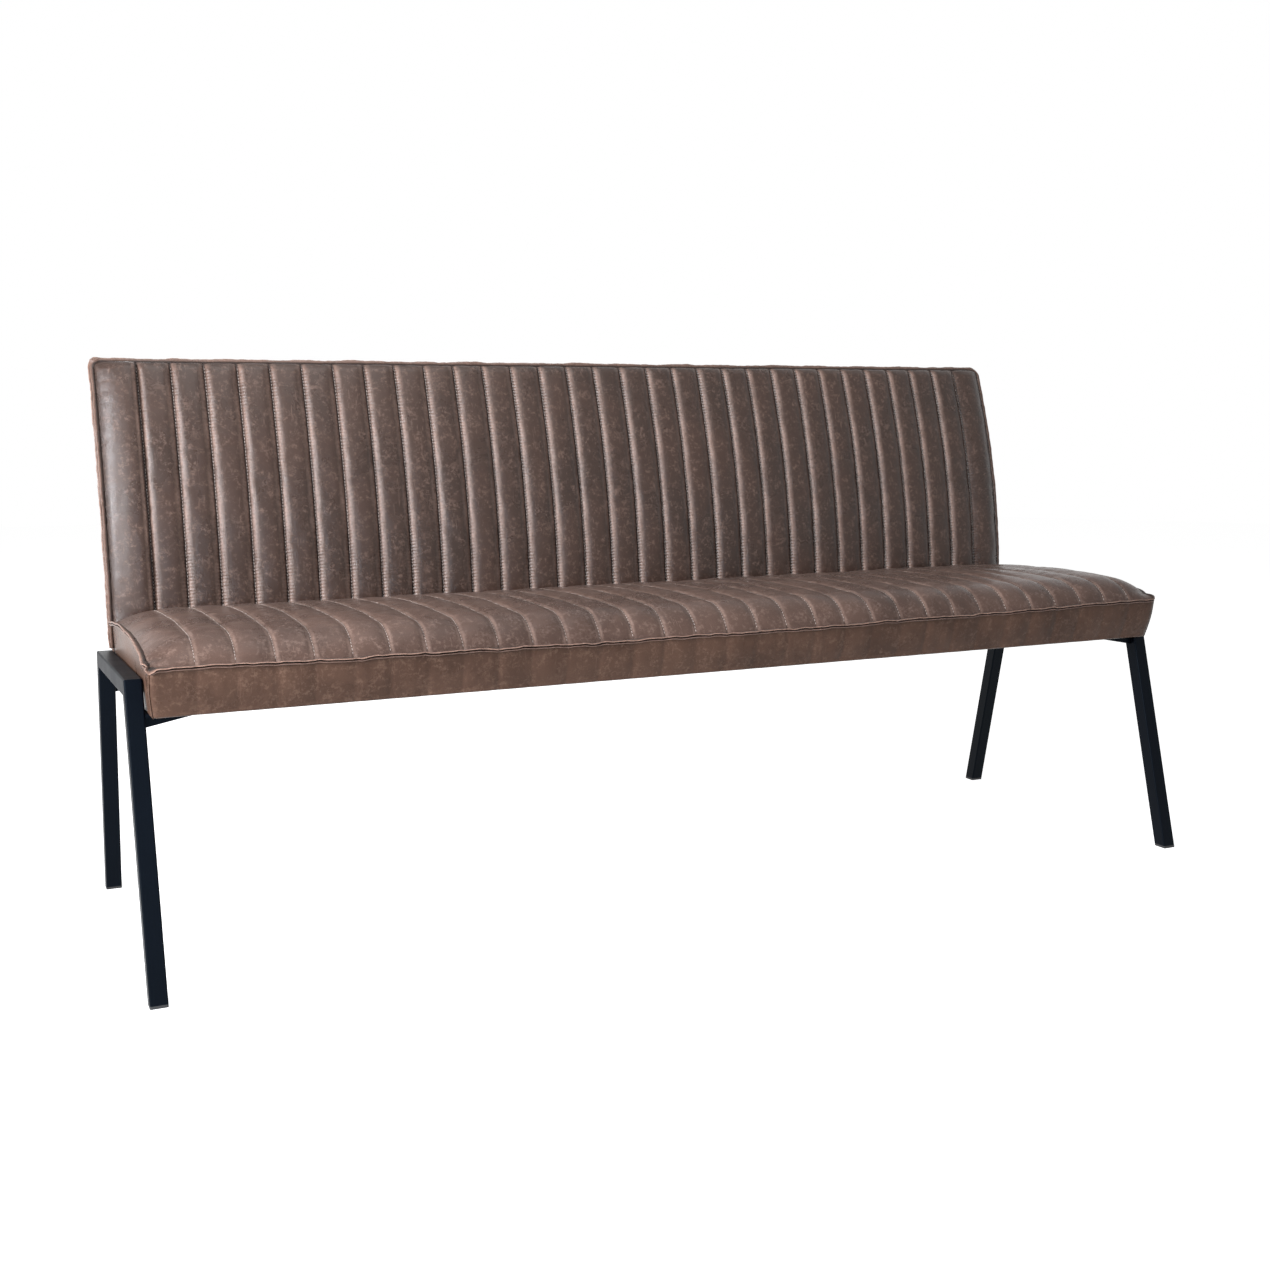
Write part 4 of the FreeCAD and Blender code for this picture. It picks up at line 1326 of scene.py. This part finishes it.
        self.palette.fit(piece, Finish.PLAIN, "plain_leather", "back_rear_cover", "back_rear_wadding",
                         wall=COVER_WALL, fill=0.9)

    def raised_seam(self) -> None:
        """The two-ply edge up both sides and along the top, tipped forward and trimmed on the right."""
        up = np.linspace(self.seam_start, self.length, 170)
        x, s = three_sides(self.half, up, 460)
        path = self.place(x, s, np.full_like(x, -self.recess))
        tangent = unit(np.gradient(path, axis=0))
        front = self.front(s)
        at_right = (x > self.half - ON_LINE) * smooth((self.length - s) / 0.03)
        outward = np.cross(front, tangent) + (0.12 + 0.9 * at_right)[:, None] * front
        seam = RaisedSeam(standout=0.0078, ply=0.0013, ear=0.4, ear_width=0.006)
        piece = seam.sweep("back_raised_seam", path, outward, 51, (len(up) - 1,), 1.0 - 0.3 * at_right)
        self.palette.fit(piece, Finish.SEAM, "seam_leather", "back_edge_seam")

    def stitches(self) -> None:
        """Thread in every channel seam above the seat, just to the right of the seam's lowest line."""
        s = np.linspace(self.seat_line, self.length - self.thread_top, self.seam_points)
        lines = [self.surface(np.full_like(s, x + self.thread_shift), s) for x in self.quilting.seams()]
        piece = Stitching().run("back_stitches", lines, [self.front(s)] * len(lines))
        self.palette.fit(piece, Finish.THREAD, "quilted_leather")

    def build(self) -> None:
        """Make every piece of the back."""
        self.cushion()
        self.rear_cover()
        self.raised_seam()
        self.stitches()


# Cloth under the seat and the back
@dataclass
class DustCloth:
    """Thin non-woven cloth stretched over an underside, cut round the brackets it meets."""

    palette: Palette
    name: str
    node: str
    rests_on: tuple[str, ...]
    front_gap: float = 0.0
    rear_lap: float = 0.0
    margin: float = 0.0012
    sag: float = 0.0009
    spacing: float = 0.012

    def lines(self, low: float, high: float, cuts: list[float]) -> Array:
        """Grid lines at about the spacing, with a line on each cut.

        Args:
            low: First line.
            high: Last line.
            cuts: Edges of the cuts.

        Returns:
            The lines' places.
        """
        stops = np.array(sorted({low, high, *(c for c in cuts if low < c < high)}))
        parts = [np.linspace(a, b, max(2, int((b - a) / self.spacing) + 1))[:-1]
                 for a, b in zip(stops, stops[1:])]
        return np.append(np.concatenate(parts), high)

    def build(self) -> None:
        """Flat grid over the cloth's outline, less the faces inside the cuts, sagging between its edges."""
        low, high = LEAN.box(self.node)
        low[1] += self.front_gap
        high[1] += self.rear_lap
        cuts = [(lo - self.margin, hi + self.margin) for lo, hi in map(LEAN.box, BRACKETS)]
        xs, vs = (self.lines(low[i], high[i], [edge[i] for cut in cuts for edge in cut]) for i in (0, 1))
        x, v = np.meshgrid(xs, vs)
        tx, tv = (x - low[0]) / (high[0] - low[0]), (v - low[1]) / (high[1] - low[1])
        hang = self.sag * (16 * tx * (1 - tx) * tv * (1 - tv)) ** 0.5 * (1 + 0.3 * ripple(x + v, 71, 0.3))
        points = LEAN.world(x, v, low[2] - hang)
        faces = grid_faces(len(vs), len(xs))[:, ::-1]
        corners = np.stack([x, v], axis=-1).reshape(-1, 2)[faces]
        middle = corners.mean(axis=1)
        keep = np.ones(len(faces), dtype=bool)
        for lo, hi in cuts:
            keep &= ~np.all((middle > lo[:2]) & (middle < hi[:2]), axis=1)
        used, index = np.unique(faces[keep], return_inverse=True)
        piece = finish_mesh(self.name, points.reshape(-1, 3)[used], index.reshape(-1, 4), {})
        self.palette.fit(piece, Finish.CLOTH, "dust_cloth", self.node, wall=CLOTH_WALL)


# Steel, timber and cloth that stay as constructed
@dataclass
class Structure:
    """Construction nodes that show, or lie inside, with their finishes."""

    palette: Palette
    FINISHES = {"black_frame": Finish.COAT, "black_plastic": Finish.PLASTIC, "timber": Finish.TIMBER,
                "plywood": Finish.PLYWOOD, "foam": Finish.FILLING, "wadding": Finish.FILLING,
                "webbing": Finish.WEBBING, "dust_cloth": Finish.CLOTH, "zinc_steel": Finish.ZINC,
                "quilted_leather": Finish.SEAT_QUILT, "plain_leather": Finish.PLAIN,
                "seam_leather": Finish.SEAM}

    def build(self) -> None:
        """Dress every node by its material slot."""
        slots = {part["node"]: part["material_slot"] for part in frame["record"]["subparts"]}
        for name, node in frame["nodes"].items():
            self.palette.dress(node, self.FINISHES[slots[name]])
            log.info("%s: %s", name, slots[name])


# Floor, light and camera
@dataclass(frozen=True)
class Camera:
    """The photograph's point of view."""

    place: Point = (-1.1105, -2.3467, 0.7934)
    yaw: float = 0.4293
    pitch: float = 0.148
    roll: float = -0.0026
    focal_px: float = 1511.57
    image_px: float = 1270.0
    sensor: float = 36.0

    def build(self) -> None:
        """Create the camera and make it the scene's own."""
        ahead = Vector((math.sin(self.yaw) * math.cos(self.pitch), math.cos(self.yaw) * math.cos(self.pitch),
                        -math.sin(self.pitch)))
        right = Vector((math.cos(self.yaw), -math.sin(self.yaw), 0.0))
        up = right.cross(ahead)
        turned_right = right * math.cos(self.roll) + up * math.sin(self.roll)
        turned_up = up * math.cos(self.roll) - right * math.sin(self.roll)
        data = bpy.data.cameras.new("photo_view")
        data.sensor_width = self.sensor
        data.lens = self.sensor * self.focal_px / self.image_px
        camera = bpy.data.objects.new("photo_view", data)
        axes = Matrix((turned_right, turned_up, -ahead)).transposed().to_4x4()
        camera.matrix_world = Matrix.Translation(self.place) @ axes
        bpy.context.collection.objects.link(camera)
        bpy.context.scene.camera = camera


@dataclass(frozen=True)
class SoftBox:
    """A rectangular studio light that faces a point of the bench."""

    name: str
    place: Point
    target: Point
    size: tuple[float, float]
    watts: float
    colour: Colour = (1.0, 1.0, 1.0)

    def build(self) -> None:
        """Create the light."""
        data = bpy.data.lights.new(self.name, "AREA")
        data.shape = "RECTANGLE"
        data.size, data.size_y = self.size
        data.energy = self.watts
        data.color = self.colour
        lamp = bpy.data.objects.new(self.name, data)
        lamp.location = self.place
        lamp.rotation_euler = (Vector(self.target) - Vector(self.place)).to_track_quat("-Z", "Y").to_euler()
        bpy.context.collection.objects.link(lamp)


class Studio:
    """White floor and background, with soft light mainly from the left."""

    LIGHTS = (SoftBox("key_left", (-2.95, -1.25, 1.5), (-0.3, 0.0, 0.6), (0.5, 1.6), 132.0,
                      (0.95, 0.96, 1.0)),
              SoftBox("strip_left", (-2.5, -2.6, 1.5), (0.0, 0.0, 0.6), (0.25, 1.6), 42.0),
              SoftBox("front_fill", (-0.9, -3.6, 1.9), (0.1, 0.0, 0.45), (2.4, 2.4), 3.0),
              SoftBox("top_soft", (-0.5, -0.4, 2.1), (-0.4, 0.0, 0.5), (1.3, 1.2), 14.0),
              SoftBox("rear_soft", (0.5, 3.4, 1.7), (0.0, 0.3, 0.6), (2.2, 1.6), 36.0),
              SoftBox("front_low", (-1.0, -3.1, 1.1), (-0.85, -0.2, 0.35), (0.7, 0.7), 13.0,
                      (0.62, 0.8, 1.0)))
    WHITE = (1.0, 1.0, 1.0)
    PAPER = (0.8, 0.8, 0.8)
    FLOOR_GLOW = 0.95
    AMBIENT = 0.04
    FLOOR_RINGS = (0.01, 1.5, 4.0, 9.0)

    def seen(self, n: Nodes) -> Socket:
        """Where the surroundings look white.

        Args:
            n: Node helper of the floor or the world.

        Returns:
            1 to the camera, in gloss and through glass, else 0.
        """
        path = n.add("ShaderNodeLightPath").outputs
        straight = n.math("MAXIMUM", path["Is Camera Ray"], path["Is Transmission Ray"])
        return n.math("MAXIMUM", straight, path["Is Glossy Ray"])

    def floor(self) -> None:
        """Pale disc of rings that shows white, keeps the bench's shadow, and is clear from below."""
        angle = np.linspace(0, 2 * np.pi, 64, endpoint=False)
        radius = np.array(self.FLOOR_RINGS)[:, None]
        points = np.stack([radius * np.cos(angle), radius * np.sin(angle), radius * np.zeros(64)], axis=-1)
        piece = grid_piece("studio_floor", points[:, ::-1], {}, closed=True)
        material = bpy.data.materials.new("studio_floor")
        n = empty_tree(material)
        paper = n.add("ShaderNodeBsdfDiffuse", {"Color": self.PAPER})
        strength = n.math("MULTIPLY", self.seen(n), self.FLOOR_GLOW)
        glow = n.add("ShaderNodeEmission", {"Color": self.WHITE, "Strength": strength})
        both = n.add("ShaderNodeAddShader", {0: paper.outputs[0], 1: glow.outputs[0]})
        below = n.add("ShaderNodeNewGeometry").outputs["Backfacing"]
        clear = n.add("ShaderNodeBsdfTransparent")
        sided = n.add("ShaderNodeMixShader", {0: below, 1: both.outputs[0], 2: clear.outputs[0]})
        n.add("ShaderNodeOutputMaterial", {"Surface": sided.outputs[0]})
        piece.data.materials.append(material)

    def world(self) -> None:
        """Even background: white to the camera and in reflections, faint as light."""
        world = bpy.data.worlds.new("studio")
        bpy.context.scene.world = world
        n = empty_tree(world)
        strength = n.add("ShaderNodeMapRange", {"Value": self.seen(n), "To Min": self.AMBIENT, "To Max": 1.0})
        glow = n.add("ShaderNodeBackground", {"Color": self.WHITE, "Strength": strength.outputs["Result"]})
        n.add("ShaderNodeOutputWorld", {"Surface": glow.outputs[0]})

    def build(self) -> None:
        """Floor, background, lights and camera."""
        self.floor()
        self.world()
        for light in self.LIGHTS:
            light.build()
        Camera().build()
        bpy.context.scene.view_settings.view_transform = "Standard"


def main() -> None:
    """Dress the bench and set the studio round it."""
    logging.basicConfig(level=logging.INFO, format="%(name)s %(message)s")
    palette = Palette()
    Structure(palette).build()
    Seat(palette).build()
    Back(palette).build()
    DustCloth(palette, "seat_dust_cloth", "seat_dust_cover", ("seat_front_rail", "seat_rear_rail"),
              front_gap=0.003, rear_lap=0.0038).build()
    DustCloth(palette, "back_dust_cloth", "back_dust_cover", ("back_foot_rail",)).build()
    Studio().build()


if __name__ == "__main__":
    main()
